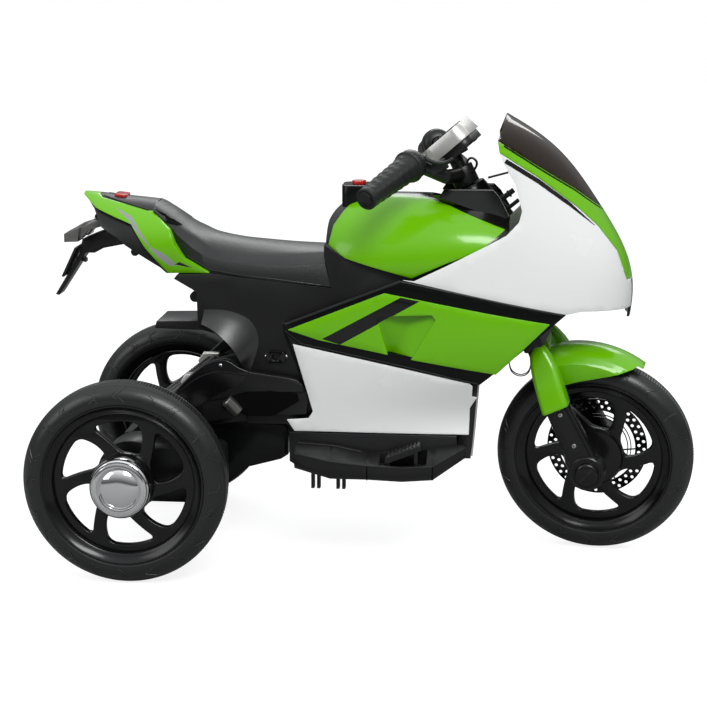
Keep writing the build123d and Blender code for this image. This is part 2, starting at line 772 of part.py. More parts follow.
with BuildPart() as battery:
    with BuildSketch(level(CORE_FLOOR + CORE_WALL + 2 * SEAM)):
        with Locations(*drawn((378, 0))):
            Rectangle(BATTERY_SIZE[0], BATTERY_SIZE[1])
    extrude(amount=BATTERY_SIZE[2])
pieces["battery"] = battery

undertail_form = saddle(
    ((-104, 560, 20, 552, 26), (-30, 560, 44, 540, 54), (46, 540, 58, 500, 68)), 430
)
undertail_low = ((-94, 553), (-82, 541), (-66, 514), (-36, 497), (-27, 489), (28, 455), (38, 446))
pieces["undertail"] = cut_from(undertail_form, *undertail_low, *COWL_LOW[:4])

# ---------------------------------------------------------------- running gear carriers
flank_inner = CORE_HALF_WIDTH + SEAM
ARM_SEAT = ((-24, 191), (30, 199), (60, 205), (93, 203), (164, 213))

with BuildPart() as swing_arm:
    with BuildSketch(side(-ARM_Y)):
        with BuildLine():
            Polyline(
                *drawn(
                    (-24, 191), (40, 250), (71, 273), (97, 285), (123, 290), (155, 287), (160, 250),
                    *ARM_SEAT[::-1],
                ),
                close=True,
            )
        make_face()
        offset(amount=-SEAM / 2, kind=Kind.INTERSECTION)
    extrude(amount=ARM_WALL)
    with BuildSketch(side(-ARM_Y)):
        with BuildLine():
            Polyline(*drawn((100, 222), (92, 272), (112, 288), (146, 297), (149, 230)), close=True)
        make_face()
    extrude(amount=flank_inner - ARM_Y + ARM_WALL)
    with BuildSketch(side(-flank_inner)) as flank_sketch:
        with BuildLine():
            Polyline(
                *drawn(
                    (100, 217), (84, 279), (111, 292), (131, 298), (155, 302), (171, 299), (224, 292),
                    (243, 289), (253, 281), (262, 258), (258, 233), (228, 231), (190, 233), (142, 225),
                ),
                close=True,
            )
        make_face()
    extrude(amount=ARM_WALL)
    with BuildSketch(side(-flank_inner - ARM_WALL)):
        with BuildLine():
            Polyline(
                *drawn((84, 279), (111, 292), (131, 298), (155, 302), (171, 299), (224, 292), (243, 289),
                       (253, 281), (256, 268), (163, 266), (138, 257), (98, 249)),
                close=True,
            )
        make_face()
    extrude(amount=ARM_LIP, taper=20)
pieces["swing_arms"] = pair(swing_arm)

with BuildPart() as gearbox:
    with BuildSketch(side(-GEARBOX_INNER)):
        with Locations((0, DRAWN_AXLE_HEIGHT)):
            Circle(GEARBOX_RADIUS)
        with Locations((70, DRAWN_AXLE_HEIGHT)):
            RectangleRounded(140, 84, 12)
        with Locations((0, DRAWN_AXLE_HEIGHT)):
            Circle(AXLE_RADIUS + SEAM, mode=Mode.SUBTRACT)
    extrude(amount=GEARBOX_OUTER - GEARBOX_INNER)
pieces["gearboxes"] = pair(gearbox)

with BuildPart() as rear_beam:
    with BuildSketch(side(0)):
        with BuildLine():
            Polyline(
                *drawn(
                    (-36, 120), (-36, 189), *ARM_SEAT, (226, 213), (226, 160), (214, 152), (163, 138),
                    (124, 106), (0, 106),
                ),
                close=True,
            )
        make_face()
        offset(amount=-SEAM / 2, kind=Kind.INTERSECTION)
    extrude(amount=ARM_Y + ARM_WALL, both=True)
    with BuildSketch(side(0)):
        with Locations((0, DRAWN_AXLE_HEIGHT)):
            RectangleRounded(64, 62, 14)
    extrude(amount=GEARBOX_INNER - SEAM, both=True)
    with BuildSketch(side(0)):
        with Locations((0, DRAWN_AXLE_HEIGHT)):
            Circle(AXLE_RADIUS + SEAM)
    extrude(amount=GEARBOX_INNER, both=True, mode=Mode.SUBTRACT)
pieces["rear_beam"] = rear_beam

# ---------------------------------------------------------------- footrests and floor
with BuildPart() as floor_pan:
    with BuildSketch(side(0)):
        with BuildLine():
            Polyline(
                *drawn(
                    (232, CORE_FLOOR), (232, 158), (252, 146), (440, 143), (458, 149), (484, 166),
                    (491.5, 166), (491.5, CORE_FLOOR),
                ),
                close=True,
            )
        make_face()
    extrude(amount=FOOT_INNER - SEAM, both=True)
pieces["floor_pan"] = floor_pan

# Cross sections of a footrest: x, height at the body, height at the lip, underside, width
FOOT_SECTIONS = (
    (244, 192, 183, 157, 40),
    (300, 190, 172, 143, 46),
    (355, 178, 167, 143, 46),
    (410, 181, 165, 141, 46),
    (457, 188, 168, 145, 46),
    (506, 193, 190, 172, 10),
)
with BuildPart() as footrest:
    for x, inner_z, lip_z, under_z, reach in FOOT_SECTIONS:
        with BuildSketch(across(x)):
            with BuildLine():
                Polyline(
                    (-FOOT_INNER, inner_z),
                    (-FOOT_INNER - reach, lip_z),
                    (-FOOT_INNER - reach, under_z + 9),
                    (-FOOT_INNER - reach + 7, under_z),
                    (-FOOT_INNER, under_z),
                    close=True,
                )
            make_face()
    loft(ruled=True)
    with BuildSketch(level(PEDAL_FLOOR)):
        with Locations(*drawn((411, -FOOT_INNER - 23))):
            Rectangle(72, PEDAL_WIDTH + 6)
    extrude(amount=60, mode=Mode.SUBTRACT)
    with BuildSketch(level(122)):
        with Locations(*drawn(*((x, -FOOT_INNER - 16) for x in (271, 280, 310, 319)))):
            Rectangle(5, 12)
    extrude(amount=34)
pieces["footrests"] = pair(footrest)

with BuildPart() as foot_pedal:
    with BuildSketch(side(-FOOT_INNER - 23 + PEDAL_WIDTH / 2)):
        with BuildLine():
            Polyline(
                *drawn(
                    (381, PEDAL_FLOOR + SEAM), (384, 178), (436, 199), (440, 191), (434, 188),
                    (434, PEDAL_FLOOR + SEAM), (428, PEDAL_FLOOR + SEAM), (428, 185), (391, 170),
                    (391, PEDAL_FLOOR + SEAM),
                ),
                close=True,
            )
        make_face()
    extrude(amount=PEDAL_WIDTH)
pieces["foot_pedal"] = foot_pedal

# ---------------------------------------------------------------- steering head and grille
head_bottom = crown_top + SEAM
with BuildPart() as steering_head:
    with BuildSketch(steer_plane(head_bottom)):
        Circle(STEM_RADIUS + 9)
    extrude(amount=HEAD_TOP_FROM_AXLE - head_bottom)
    with BuildSketch(side(0)):
        with BuildLine():
            gusset_low = steered(0, 0, head_bottom + 20) - Vector(REAR_AXLE_X, 0, BASE_Z)
            gusset_high = steered(0, 0, HEAD_TOP_FROM_AXLE - 15) - Vector(REAR_AXLE_X, 0, BASE_Z)
            Polyline(
                *drawn((CORE_FRONT, 400), (CORE_FRONT, 480)),
                (gusset_high.X, gusset_high.Z),
                (gusset_low.X, gusset_low.Z),
                close=True,
            )
        make_face()
    extrude(amount=14, both=True)
    with BuildSketch(steer_plane(crown_top)):
        Circle(STEM_RADIUS + BEARING_CLEARANCE)
    extrude(amount=HEAD_TOP_FROM_AXLE - crown_top + 20, mode=Mode.SUBTRACT)
pieces["steering_head"] = steering_head

with BuildPart() as column_cover:
    with BuildSketch(steer_plane(stem_top - 108)):
        Circle(46)
    with BuildSketch(steer_plane(stem_top - 40)):
        Circle(26)
    loft()
    with BuildSketch(steer_plane(stem_top - 112)):
        Circle(STEM_RADIUS + SEAM)
    extrude(amount=100, mode=Mode.SUBTRACT)
steered_pieces["column_cover"] = column_cover

with BuildPart() as grille:
    with BuildSketch(side(0)):
        with BuildLine():
            Polyline(*drawn((512, 286), (522, 286), (513, 165), (492, 165), (492, 206)), close=True)
        make_face()
        offset(amount=-SEAM / 2, kind=Kind.INTERSECTION)
    extrude(amount=CORE_HALF_WIDTH, both=True)
pieces["grille"] = grille

# ---------------------------------------------------------------- small outer pieces
with BuildPart() as charge_socket:
    with BuildSketch(side(-CORE_HALF_WIDTH - SEAM)):
        with Locations(*drawn((210, 321))):
            RectangleRounded(30, 18, 6)
            Circle(SOCKET_RADIUS, mode=Mode.SUBTRACT)
    extrude(amount=5)
pieces["charge_socket"] = charge_socket

with BuildPart() as tank_cover:
    with BuildSketch(level(545)):
        with Locations(*drawn((331, 0))):
            RectangleRounded(50, 60, 12)
    extrude(amount=COVER_TOP - 545)
    add(Pos(0, 0, SEAM) * tank_form, mode=Mode.SUBTRACT)
pieces["tank_cover"] = tank_cover
with BuildPart() as power_button:
    with BuildSketch(level(COVER_TOP + SEAM)):
        with Locations(*drawn((331, 0))):
            Circle(11)
    extrude(amount=5)
pieces["power_button"] = power_button

with BuildPart() as tail_lamp:
    with BuildSketch(level(550)):
        with Locations(*drawn((-44, 0))):
            RectangleRounded(22, 34, 7)
    extrude(amount=LAMP_TOP - 550)
    add(Pos(0, 0, SEAM) * tail_form, mode=Mode.SUBTRACT)
pieces["tail_lamp"] = tail_lamp

with BuildPart() as plate_bracket:
    with BuildSketch(side(0)):
        with BuildLine():
            Polyline(
                *drawn(
                    (-36, 497), (-47, 502.8), (-74, 502), (-84, 499), (-108, 489), (-114, 467), (-89, 467),
                    (-74, 475), (-34, 483), (-27, 489),
                ),
                close=True,
            )
        make_face()
    extrude(amount=BRACKET_HALF_WIDTH, both=True)
    with BuildSketch(side(0)):
        with BuildLine():
            Polyline(*drawn((-110, 470), (-101, 470), (-149, 398), (-154, 400)), close=True)
        make_face()
    extrude(amount=FLAP_HALF_WIDTH, both=True)
    with BuildSketch(side(0)):
        with BuildLine():
            Polyline(*drawn((-120, 459), (-122, 456), (-106, 450), (-106, 456)), close=True)
            Polyline(*drawn((-130, 438), (-132, 435), (-118, 432), (-118, 436)), close=True)
        make_face()
    extrude(amount=BRACKET_HALF_WIDTH / 2, both=True)
pieces["plate_bracket"] = plate_bracket
with BuildPart() as number_plate:
    with BuildSketch(side(0)):
        with BuildLine():
            Polyline(*drawn((-113, 477), (-117, 478), (-140, 431), (-136, 430)), close=True)
        make_face()
    extrude(amount=PLATE_HALF_WIDTH, both=True)
pieces["number_plate"] = number_plate
with BuildPart() as indicator:
    with BuildSketch(side(-BRACKET_HALF_WIDTH - SEAM)):
        with BuildLine():
            Polyline(
                *drawn(
                    (-110, 493), (-112, 504), (-84, 524), (-74, 521), (-69, 513), (-93, 506), (-104, 492)
                ),
                close=True,
            )
        make_face()
    extrude(amount=20)
    with BuildSketch(side(-BRACKET_HALF_WIDTH - SEAM)):
        with BuildLine():
            Polyline(*drawn((-128, 489), (-128, 502), (-120, 507), (-104, 512), (-106, 490)), close=True)
        make_face()
    extrude(amount=INDICATOR_REACH)
pieces["indicators"] = pair(indicator)

# ---------------------------------------------------------------- write every piece
for name, piece in pieces.items():
    piece.part.label = name
    export_step(piece.part, f"parts/{name}.step")
for name, piece in steered_pieces.items():
    at_rest = piece.part.rotate(STEER_AXIS, STEER_AT_REST)
    at_rest.label = name
    export_step(at_rest, f"parts/{name}.step")
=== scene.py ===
"""Looks for the child's three-wheeled ride-on motorcycle, in the frame of its solids.

Tables and arguments are in millimetres; names that end in _M, and what at() and steered() give, in metres.
A body point is (x, z): ahead of the rear axle and above the line on which the wheels stand.
"""

import json
import math

import bmesh
import bpy
from mathutils import Matrix, Vector
from mathutils.bvhtree import BVHTree


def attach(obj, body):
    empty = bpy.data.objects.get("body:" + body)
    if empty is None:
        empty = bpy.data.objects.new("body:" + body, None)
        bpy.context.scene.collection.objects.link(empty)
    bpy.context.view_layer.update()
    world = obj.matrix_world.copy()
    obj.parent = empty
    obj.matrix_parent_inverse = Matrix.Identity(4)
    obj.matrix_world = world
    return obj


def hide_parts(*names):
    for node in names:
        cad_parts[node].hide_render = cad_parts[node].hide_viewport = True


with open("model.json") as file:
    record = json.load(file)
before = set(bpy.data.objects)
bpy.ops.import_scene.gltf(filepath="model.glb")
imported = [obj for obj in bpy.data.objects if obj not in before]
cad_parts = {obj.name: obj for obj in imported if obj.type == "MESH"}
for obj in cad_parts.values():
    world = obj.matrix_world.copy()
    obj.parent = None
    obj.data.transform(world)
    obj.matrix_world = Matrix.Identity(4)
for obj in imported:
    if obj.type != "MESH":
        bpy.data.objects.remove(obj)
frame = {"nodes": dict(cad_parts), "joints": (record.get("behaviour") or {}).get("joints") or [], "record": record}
scene = bpy.context.scene
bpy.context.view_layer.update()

# ------ places
WHEEL_RADIUS_M = 0.155
RIGHT, LEFT = SIDES = -1, 1
joints = {joint["name"]: joint for joint in frame["joints"]}
REAR = Vector(joints["rear_wheel_right_spin"]["pos_m"])
FRONT = Vector(joints["steering_turn"]["pos_m"])
STEER_UP = Vector(joints["steering_turn"]["axis"]).normalized()
FRONT_AXIS = Vector(joints["front_wheel_spin"]["axis"]).normalized()
STEER_ACROSS = FRONT_AXIS.cross(STEER_UP).normalized()
BASE = REAR.z - WHEEL_RADIUS_M
FORWARD, DOWN = Vector((1, 0, 0)), Vector((0, 0, -1))


def at(x, y, z):
    """A body point: ahead of the rear axle, to the left, above the base line."""
    return Vector((REAR.x + x / 1000, y / 1000, BASE + z / 1000))


def steered(u, y, v):
    """A point of the steering assembly as it stands at rest: ahead of its axis, to the left, up it."""
    return FRONT + (STEER_ACROSS * u + FRONT_AXIS * y + STEER_UP * v) / 1000


# ------ materials
def shader_of(material):
    """The main shader of a material."""
    return material.node_tree.nodes["Principled BSDF"]


def feed(tree, node, inputs):
    """Sets inputs of a node, by name or number, to values or to the outputs that feed them."""
    for key, value in inputs.items():
        if isinstance(value, bpy.types.NodeSocket):
            tree.links.new(value, node.inputs[key])
        else:
            node.inputs[key].default_value = value


def add(tree, kind, inputs=None, **settings):
    """A new node of this kind, with its inputs and settings."""
    node = tree.nodes.new(f"ShaderNode{kind}")
    for key, value in settings.items():
        setattr(node, key, value)
    feed(tree, node, inputs or {})
    return node


def maths(tree, operation, *values):
    """The outcome of one sum on values or outputs."""
    return add(tree, "Math", dict(enumerate(values)), operation=operation).outputs[0]


def noise(tree, scale, detail):
    """Noise that is fixed to the object, from 0 to 1."""
    place = add(tree, "TexCoord").outputs["Object"]
    return add(tree, "TexNoise", {"Vector": place, "Scale": scale, "Detail": detail}).outputs["Fac"]


def spread(tree, source, to_range, from_range=(0.0, 1.0)):
    """Takes one range of values into another."""
    return add(tree, "MapRange", {
        "Value": source, "From Min": from_range[0], "From Max": from_range[1],
        "To Min": to_range[0], "To Max": to_range[1]}).outputs["Result"]


CLOUD_SCALE = 11.0
WORN_EDGES = (0.53, 0.62)
GRAIN_DEPTH_M = 0.0006


def moulded(name, colour, roughness, grain, scale, coat=0.0, shade=0.06, wear=0.0, metallic=0.0, shine=0.5):
    """A moulded or painted surface: uneven colour and gloss, a fine grain and rubbed edges."""
    material = bpy.data.materials.new(name)
    material.use_nodes = True
    tree, shader = material.node_tree, shader_of(material)
    cloud = noise(tree, CLOUD_SCALE, 5.0)
    tone = spread(tree, cloud, (1.0 - shade, 1.0 + shade))
    paint = add(tree, "VectorMath", {0: colour, "Scale": tone}, operation="SCALE").outputs["Vector"]
    if wear:
        pointed = add(tree, "NewGeometry").outputs["Pointiness"]
        rubbed = (*[min(1.0, c * 2.2 + 0.05) for c in colour], 1)
        edge = spread(tree, pointed, (0.0, wear), WORN_EDGES)
        paint = add(tree, "MixRGB", {"Fac": edge, "Color1": paint, "Color2": rubbed}).outputs[0]
    feed(tree, shader, {
        "Base Color": paint, "Metallic": metallic, "Specular IOR Level": shine,
        "Roughness": spread(tree, cloud, (max(0.02, roughness * 0.8), roughness * 1.2)),
        "Coat Weight": coat, "Coat Roughness": 0.05})
    if grain:
        height = noise(tree, scale, 3.0)
        bump = add(tree, "Bump", {"Strength": grain, "Distance": GRAIN_DEPTH_M, "Height": height}).outputs[0]
        feed(tree, shader, {"Normal": bump, "Coat Normal": bump} if coat else {"Normal": bump})
    return material


def painted_band(material, points, colour, outside=False):
    """Paints a convex side outline given by body points, or all that lies outside it."""
    tree, shader = material.node_tree, shader_of(material)
    corners = [at(x, 0, z) for x, z in points]
    pairs = list(zip(corners, corners[1:] + corners[:1]))
    way = math.copysign(1.0, sum(a.x * b.z - b.x * a.z for a, b in pairs))
    place = add(tree, "SeparateXYZ", {"Vector": add(tree, "TexCoord").outputs["Object"]}).outputs
    inside = 1.0
    for start, end in pairs:
        dx, dz = way * (end.x - start.x), way * (end.z - start.z)
        depth = maths(tree, "MULTIPLY_ADD", place["Z"], dx, maths(tree, "MULTIPLY", place["X"], -dz))
        within = maths(tree, "GREATER_THAN", depth, dx * start.z - dz * start.x)
        inside = maths(tree, "MULTIPLY", inside, within)
    layers = [shader.inputs["Base Color"].links[0].from_socket, (*colour, 1)]
    below, above = layers[::-1] if outside else layers
    blend = add(tree, "MixRGB", {"Fac": inside, "Color1": below, "Color2": above})
    feed(tree, shader, {"Base Color": blend.outputs[0]})


GREEN = (0.138, 0.45, 0.0)
BLACK = (0.004, 0.004, 0.004)
STRIPE_GREY = (0.27, 0.28, 0.28)
# Colour, roughness, depth and scale of the grain, and what else differs from plain plastic
GREEN_LOOK = (GREEN, 0.22, 0.04, 260, dict(coat=0.25, shade=0.03, shine=0.35))
LOOKS = {
    "tyre_rubber": ((0.009, 0.0095, 0.009), 0.34, 0.25, 700, dict(wear=0.25, shine=0.55)),
    "grip_rubber": ((0.009, 0.0095, 0.009), 0.50, 0.35, 900, dict(shine=0.4)),
    "black_gloss": ((0.0035, 0.0035, 0.004), 0.20, 0.05, 500, dict(wear=0.15, shine=0.4)),
    "black_plastic": ((0.006, 0.006, 0.0065), 0.34, 0.2, 800, dict(wear=0.2, shine=0.38)),
    "black_seat": ((0.008, 0.0085, 0.008), 0.36, 0.5, 420, dict(wear=0.15, shine=0.5)),
    "black_satin": ((0.012, 0.012, 0.0125), 0.32, 0.1, 700, dict(shine=0.8)),
    "deep_black": ((0.0025, 0.0028, 0.0028), 0.22, 0.05, 600, dict(wear=0.1, shine=0.2)),
    # Matte near-black: painted shade in holes, screw slots and under overhangs, and the dark lines of seams
    "shade_and_seam_black": ((0.0015, 0.0015, 0.0015), 0.8, 0, 1, dict(shade=0.2, shine=0.08)),
    "chrome": ((0.80, 0.80, 0.80), 0.05, 0, 1, dict(shade=0.02, metallic=1.0)),
    "steel": ((0.55, 0.55, 0.56), 0.28, 0.1, 1200, dict(metallic=1.0)),
    "silver": ((0.60, 0.59, 0.57), 0.38, 0.1, 1500, dict(metallic=0.6)),
    "dark_metal": ((0.20, 0.195, 0.185), 0.30, 0.1, 1500, dict(metallic=0.9)),
    "dull_grey": ((0.085, 0.085, 0.085), 0.42, 0.3, 900, dict(shine=0.5)),
    "green_gloss": GREEN_LOOK,
    "tank_paint": GREEN_LOOK,
    "panel_paint": GREEN_LOOK,
    "tail_paint": GREEN_LOOK,
    "white_gloss": ((0.78, 0.79, 0.78), 0.26, 0.03, 240, dict(coat=0.4, shade=0.015)),
    "red_plastic": ((0.50, 0.012, 0.010), 0.20, 0.04, 400, dict(coat=0.5)),
    "smoke_lens": ((0.10, 0.10, 0.095), 0.14, 0, 1, dict(shade=0.1, coat=0.5)),
    "tinted_screen": ((0.050, 0.024, 0.012), 0.06, 0, 1, dict(shade=0.1, coat=0.3)),
}
finishes = {name: moulded(name, *look[:4], **look[4]) for name, look in LOOKS.items()}
screen = finishes["tinted_screen"]
feed(screen.node_tree, shader_of(screen), {"Transmission Weight": 0.75, "IOR": 1.35})

# What is painted black or grey on the green panels
TANK_GREEN = (
    (290, 494), (296, 522), (310, 542), (324, 556), (338, 562), (397, 566), (436, 564), (470, 556),
    (564, 521), (531, 500), (498, 474), (420, 440), (371, 455), (318, 472),
)
PANEL_STRIPE = ((405, 423), (434, 418), (313, 348), (285, 356))
TAIL_STRIPES = (
    ((-46, 544.5), (-24, 528.5), (-13, 523.5), (-19, 533)),
    ((-24, 529), (11, 490), (21, 484), (-11, 524), (-17, 532)),
    ((10, 491), (24, 474), (43, 459), (57, 459), (31, 483), (20, 486)),
)
TAIL_WEDGE = ((52, 461), (80, 456), (60, 465))
painted_band(finishes["tank_paint"], TANK_GREEN, BLACK, outside=True)
painted_band(finishes["panel_paint"], PANEL_STRIPE, BLACK)
for stripe in TAIL_STRIPES:
    painted_band(finishes["tail_paint"], stripe, STRIPE_GREY)
painted_band(finishes["tail_paint"], TAIL_WEDGE, BLACK)

# Solids whose look is more special than their slot's
NODE_LOOKS = {
    "side_frame_right": "deep_black", "side_frame_left": "deep_black", "rear_beam": "deep_black",
    "column_cover": "deep_black", "steering_head": "deep_black", "tank_cover": "deep_black",
    "indicators": "smoke_lens", "tank": "tank_paint", "tail_cowl": "tail_paint",
    "side_panel_right": "panel_paint", "side_panel_left": "panel_paint",
}
slots = {part["node"]: part["material_slot"] for part in frame["record"]["subparts"]}
for name, node in frame["nodes"].items():
    node.data.materials.clear()
    node.data.materials.append(finishes[NODE_LOOKS.get(name, slots[name])])


# ------ mesh tools
def mesh_of(verts, faces):
    """A mesh from points in metres and faces by their numbers."""
    mesh = bpy.data.meshes.new("form")
    mesh.from_pydata([tuple(vert) for vert in verts], [], faces)
    return mesh


def finish_mesh(mesh, angle):
    """Smooth shading that stays crisp along edges sharper than this."""
    shape = bmesh.new()
    shape.from_mesh(mesh)
    bmesh.ops.remove_doubles(shape, verts=shape.verts, dist=0.000002)
    bmesh.ops.recalc_face_normals(shape, faces=shape.faces)
    for face in shape.faces:
        face.smooth = True
    for edge in shape.edges:
        if len(edge.link_faces) == 2 and edge.calc_face_angle(0) > math.radians(angle):
            edge.smooth = False
    shape.to_mesh(mesh)
    shape.free()


def thing_of(name, data):
    """A new object in the scene."""
    thing = bpy.data.objects.new(name, data)
    scene.collection.objects.link(thing)
    return thing


def piece(name, shape, body="chassis", slot="black_plastic", stands_for=(), look=None, angle=35):
    """Puts a mesh, or a list of meshes as one, on this body, in place of the named solids."""
    mesh = joined(shape) if isinstance(shape, list) else shape
    finish_mesh(mesh, angle)
    thing = thing_of(name, mesh)
    mesh.materials.append(finishes[look or slot])
    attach(thing, body)
    if stands_for:
        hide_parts(*stands_for)
    return thing


def joined(meshes):
    """One mesh from several, which are used up."""
    shape = bmesh.new()
    for mesh in meshes:
        shape.from_mesh(mesh)
        bpy.data.meshes.remove(mesh)
    mesh = bpy.data.meshes.new("form")
    shape.to_mesh(mesh)
    shape.free()
    return mesh


def frame_of(origin, x_axis, z_axis):
    """The matrix of a local frame."""
    z = z_axis.normalized()
    x = (x_axis - z * x_axis.dot(z)).normalized()
    turn = Matrix((x, z.cross(x), z)).transposed().to_4x4()
    return Matrix.Translation(origin) @ turn


def placed(mesh, matrix):
    """A moved copy of a mesh."""
    copy = mesh.copy()
    copy.transform(matrix)
    return copy


def polar(radius, degrees):
    """The x and y of a place given by radius and degrees."""
    return radius * math.cos(math.radians(degrees)), radius * math.sin(math.radians(degrees))


def circle(radius, count=96, x=0.0, y=0.0):
    """Points round a circle."""
    return [(x + a, y + b) for a, b in [polar(radius, 360 * i / count) for i in range(count)]]


def smooth_run(points, count=8):
    """A curve through points, as a finer line."""
    points = [Vector(point) for point in points]
    out = []
    for i in range(len(points) - 1):
        p0, p1 = points[max(i - 1, 0)], points[i]
        p2, p3 = points[i + 1], points[min(i + 2, len(points) - 1)]
        for k in range(count):
            t = k / count
            out.append(0.5 * ((2 * p1) + (p2 - p0) * t + (2 * p0 - 5 * p1 + 4 * p2 - p3) * t**2
                              + (3 * p1 - p0 - 3 * p2 + p3) * t**3))
    return [*out, points[-1]]


def sheet_faces(rows, size, joins=False, rings=False):
    """Faces between rows of vertices; the last row may join the first, and the rows may be rings."""
    faces = []
    for i in range(rows if joins else rows - 1):
        near, far = i * size, (i + 1) % rows * size
        for k in range(size if rings else size - 1):
            m = (k + 1) % size
            faces.append((near + k, near + m, far + m, far + k))
    return faces


def end_faces(rings, size):
    """The faces that shut the first and the last ring."""
    return [tuple(range(size)), tuple(range((rings - 1) * size, rings * size))]


def lathe_mesh(profile, segments=96, closed=True):
    """Turns (radius, height) points about local Z."""
    verts = []
    for i in range(segments):
        for radius, height in profile:
            x, y = polar(radius, 360 * i / segments)
            verts.append((x / 1000, y / 1000, height / 1000))
    return mesh_of(verts, sheet_faces(segments, len(profile), True, closed))


def turned(profile, segments, place):
    """A turned form whose profile stays open, put in its place."""
    return placed(lathe_mesh(profile, segments, False), place)


def plate_mesh(loops, low, high, bevel):
    """A flat plate from closed (x, y) loops, with rounded edges; later loops are holes."""
    curve = bpy.data.curves.new("form", "CURVE")
    curve.dimensions = "2D"
    curve.fill_mode = "BOTH"
    curve.extrude = ((high - low) / 2 - bevel) / 1000
    curve.bevel_depth = bevel / 1000
    curve.bevel_resolution = 2
    curve.offset = -bevel / 1000
    for loop in loops:
        spline = curve.splines.new("POLY")
        spline.points.add(len(loop) - 1)
        for point, (x, y) in zip(spline.points, loop):
            point.co = (x / 1000, y / 1000, 0, 1)
        spline.use_cyclic_u = True
    form = bpy.data.objects.new("form", curve)
    mesh = bpy.data.meshes.new_from_object(form)
    bpy.data.objects.remove(form)
    mesh.transform(Matrix.Translation((0, 0, (low + high) / 2000)))
    return mesh


def side_plate(outline, side, low, high, bevel):
    """A plate that stands along the side of the body, from body points."""
    plate = plate_mesh([outline], low, high, bevel)
    for vertex in plate.vertices:
        x, z, y = vertex.co * 1000
        vertex.co = at(x, side * y, z)
    return plate


def tube_mesh(points, radius, sides, closed=False):
    """A round bar of this radius along points in metres."""
    points = [Vector(point) for point in points]
    verts = []
    side = None
    count = len(points)
    for i, point in enumerate(points):
        ahead = points[(i + 1) % count] if closed or i < count - 1 else point
        behind = points[i - 1] if closed or i else point
        run = (ahead - behind).normalized()
        if side is None:
            side = run.orthogonal()
        side = (side - run * side.dot(run)).normalized()
        other = run.cross(side)
        for k in range(sides):
            angle = 2 * math.pi * k / sides
            verts.append(point + (side * math.cos(angle) + other * math.sin(angle)) * radius / 1000)
    faces = sheet_faces(count, sides, closed, True)
    if not closed:
        faces += end_faces(count, sides)
    return mesh_of(verts, faces)


def rounded_box(middle, half, bend, steps):
    """A ring of points round a box with rounded corners."""
    ring = []
    for quarter in range(4):
        way_x = 1 if quarter in (0, 3) else -1
        way_y = 1 if quarter in (0, 1) else -1
        for step in range(steps + 1):
            x, y = polar(bend, 90 * (quarter + step / steps))
            ring.append((middle[0] + way_x * (half[0] - bend) + x, middle[1] + way_y * (half[1] - bend) + y))
    return ring


def loft_mesh(sections, side, corner, steps=5):
    """Rounded sections of the steering assembly: (height up its axis, back, front, outer y, inner y)."""
    verts = []
    for height, back, front, outer, inner in sections:
        middle, half = ((back + front) / 2, (outer + inner) / 2), ((front - back) / 2, (outer - inner) / 2)
        bend = min(corner, half[0] * 0.98, half[1] * 0.98)
        verts += [steered(u, side * y, height) for u, y in rounded_box(middle, half, bend, steps)]
    count, size = len(sections), 4 * (steps + 1)
    return mesh_of(verts, sheet_faces(count, size, rings=True) + end_faces(count, size))


def run_of(points, y):
    """Points (x, z) of the body, all this far to the left."""
    return [at(x, y, z) for x, z in points]


def body_run(points, side):
    """Points (x, y, z) of one side of the body."""
    return [at(x, side * y, z) for x, y, z in points]


# ------ wheels
TYRE_HALF_PROFILE = (
    (115.6, 19.6), (120.5, 24.8), (123.6, 28), (125.6, 29.2), (129, 29.5), (135, 29.1), (141, 27.2),
    (146.3, 23.6), (150.4, 18.6), (153.2, 13.6), (154.2, 11.8), (153.2, 11.2), (153.2, 10.2), (154.2, 9.8),
)
TREAD_TEETH = 210
TREAD_ROWS = (-9.8, -9.4, 0, 9.4, 9.8)
TREAD_TOP, TREAD_FOOT = 154.9, 153.6
SIDE_MARKS = 20
# A flat black disc with a low rim, painted shade for each hole in the tyre's sides
PIT = ((0.05, 0), (2.6, 0), (3, 0.25), (3, -2), (0.05, -2))
PIT_RADIUS, PIT_HEIGHT, PIT_TILT, PIT_COUNT = 139.5, 27.65, 17, 5
SPOKE_FIRST, SPOKES = 48.0, 6
WINDOW_INNER, WINDOW_OUTER, WINDOW_CORNER = 47.0, 95.5, 8.0
BARREL = (
    (123.9, 28), (123, 29.2), (121.2, 28.9), (119.6, 26.8), (112, 21.6), (109.4, 20.6), (107.8, 19.2),
    (107, 16.5), (106, 9), (106, -17), (108, -20.4), (118.6, -26.9), (121.2, -28.9), (123, -29.2),
    (123.9, -28), (114.9, -19.4), (114.9, 19.4),
)
HUB = (
    (6.2, 21.4), (40, 21.4), (44, 20.4), (46.4, 17), (47.4, 13), (47.4, 6), (44, 2), (31, -3), (28, -7),
    (28, -31), (6.2, -31),
)
CAP = (
    (44.6, 21.8), (46, 24), (46, 38), (45.4, 42), (43.6, 45.2), (41, 47.2), (35.6, 49), (34.2, 48.8),
    (33.4, 46.2), (31.6, 44.6), (30.4, 45.2), (28.6, 47), (24.4, 49.4), (18.6, 51.4), (12, 52.5), (6, 52.9),
    (0.05, 52.95),
)
CAP_RING = ((42.4, 46), (41.6, 47.9), (40.6, 48.2), (40.2, 47))


def sidewall(radius):
    """Height of the tyre's side at this radius."""
    points = TYRE_HALF_PROFILE[3:11]
    for (r0, t0), (r1, t1) in zip(points, points[1:]):
        if r0 <= radius <= r1:
            return t0 + (t1 - t0) * (radius - r0) / (r1 - r0)
    return points[-1][1]


def sidewall_line(corners, side, steps=4):
    """Points on the tyre's side through (radius, degrees) corners, in metres of the wheel's frame."""
    pairs = zip(corners, corners[1:])
    line = [Vector(start).lerp(Vector(end), i / steps) for start, end in pairs for i in range(steps)]
    points = []
    for r, a in [*line, corners[-1]]:
        x, y = polar(r, a)
        points.append((x / 1000, y / 1000, side * (sidewall(r) + 0.3) / 1000))
    return points


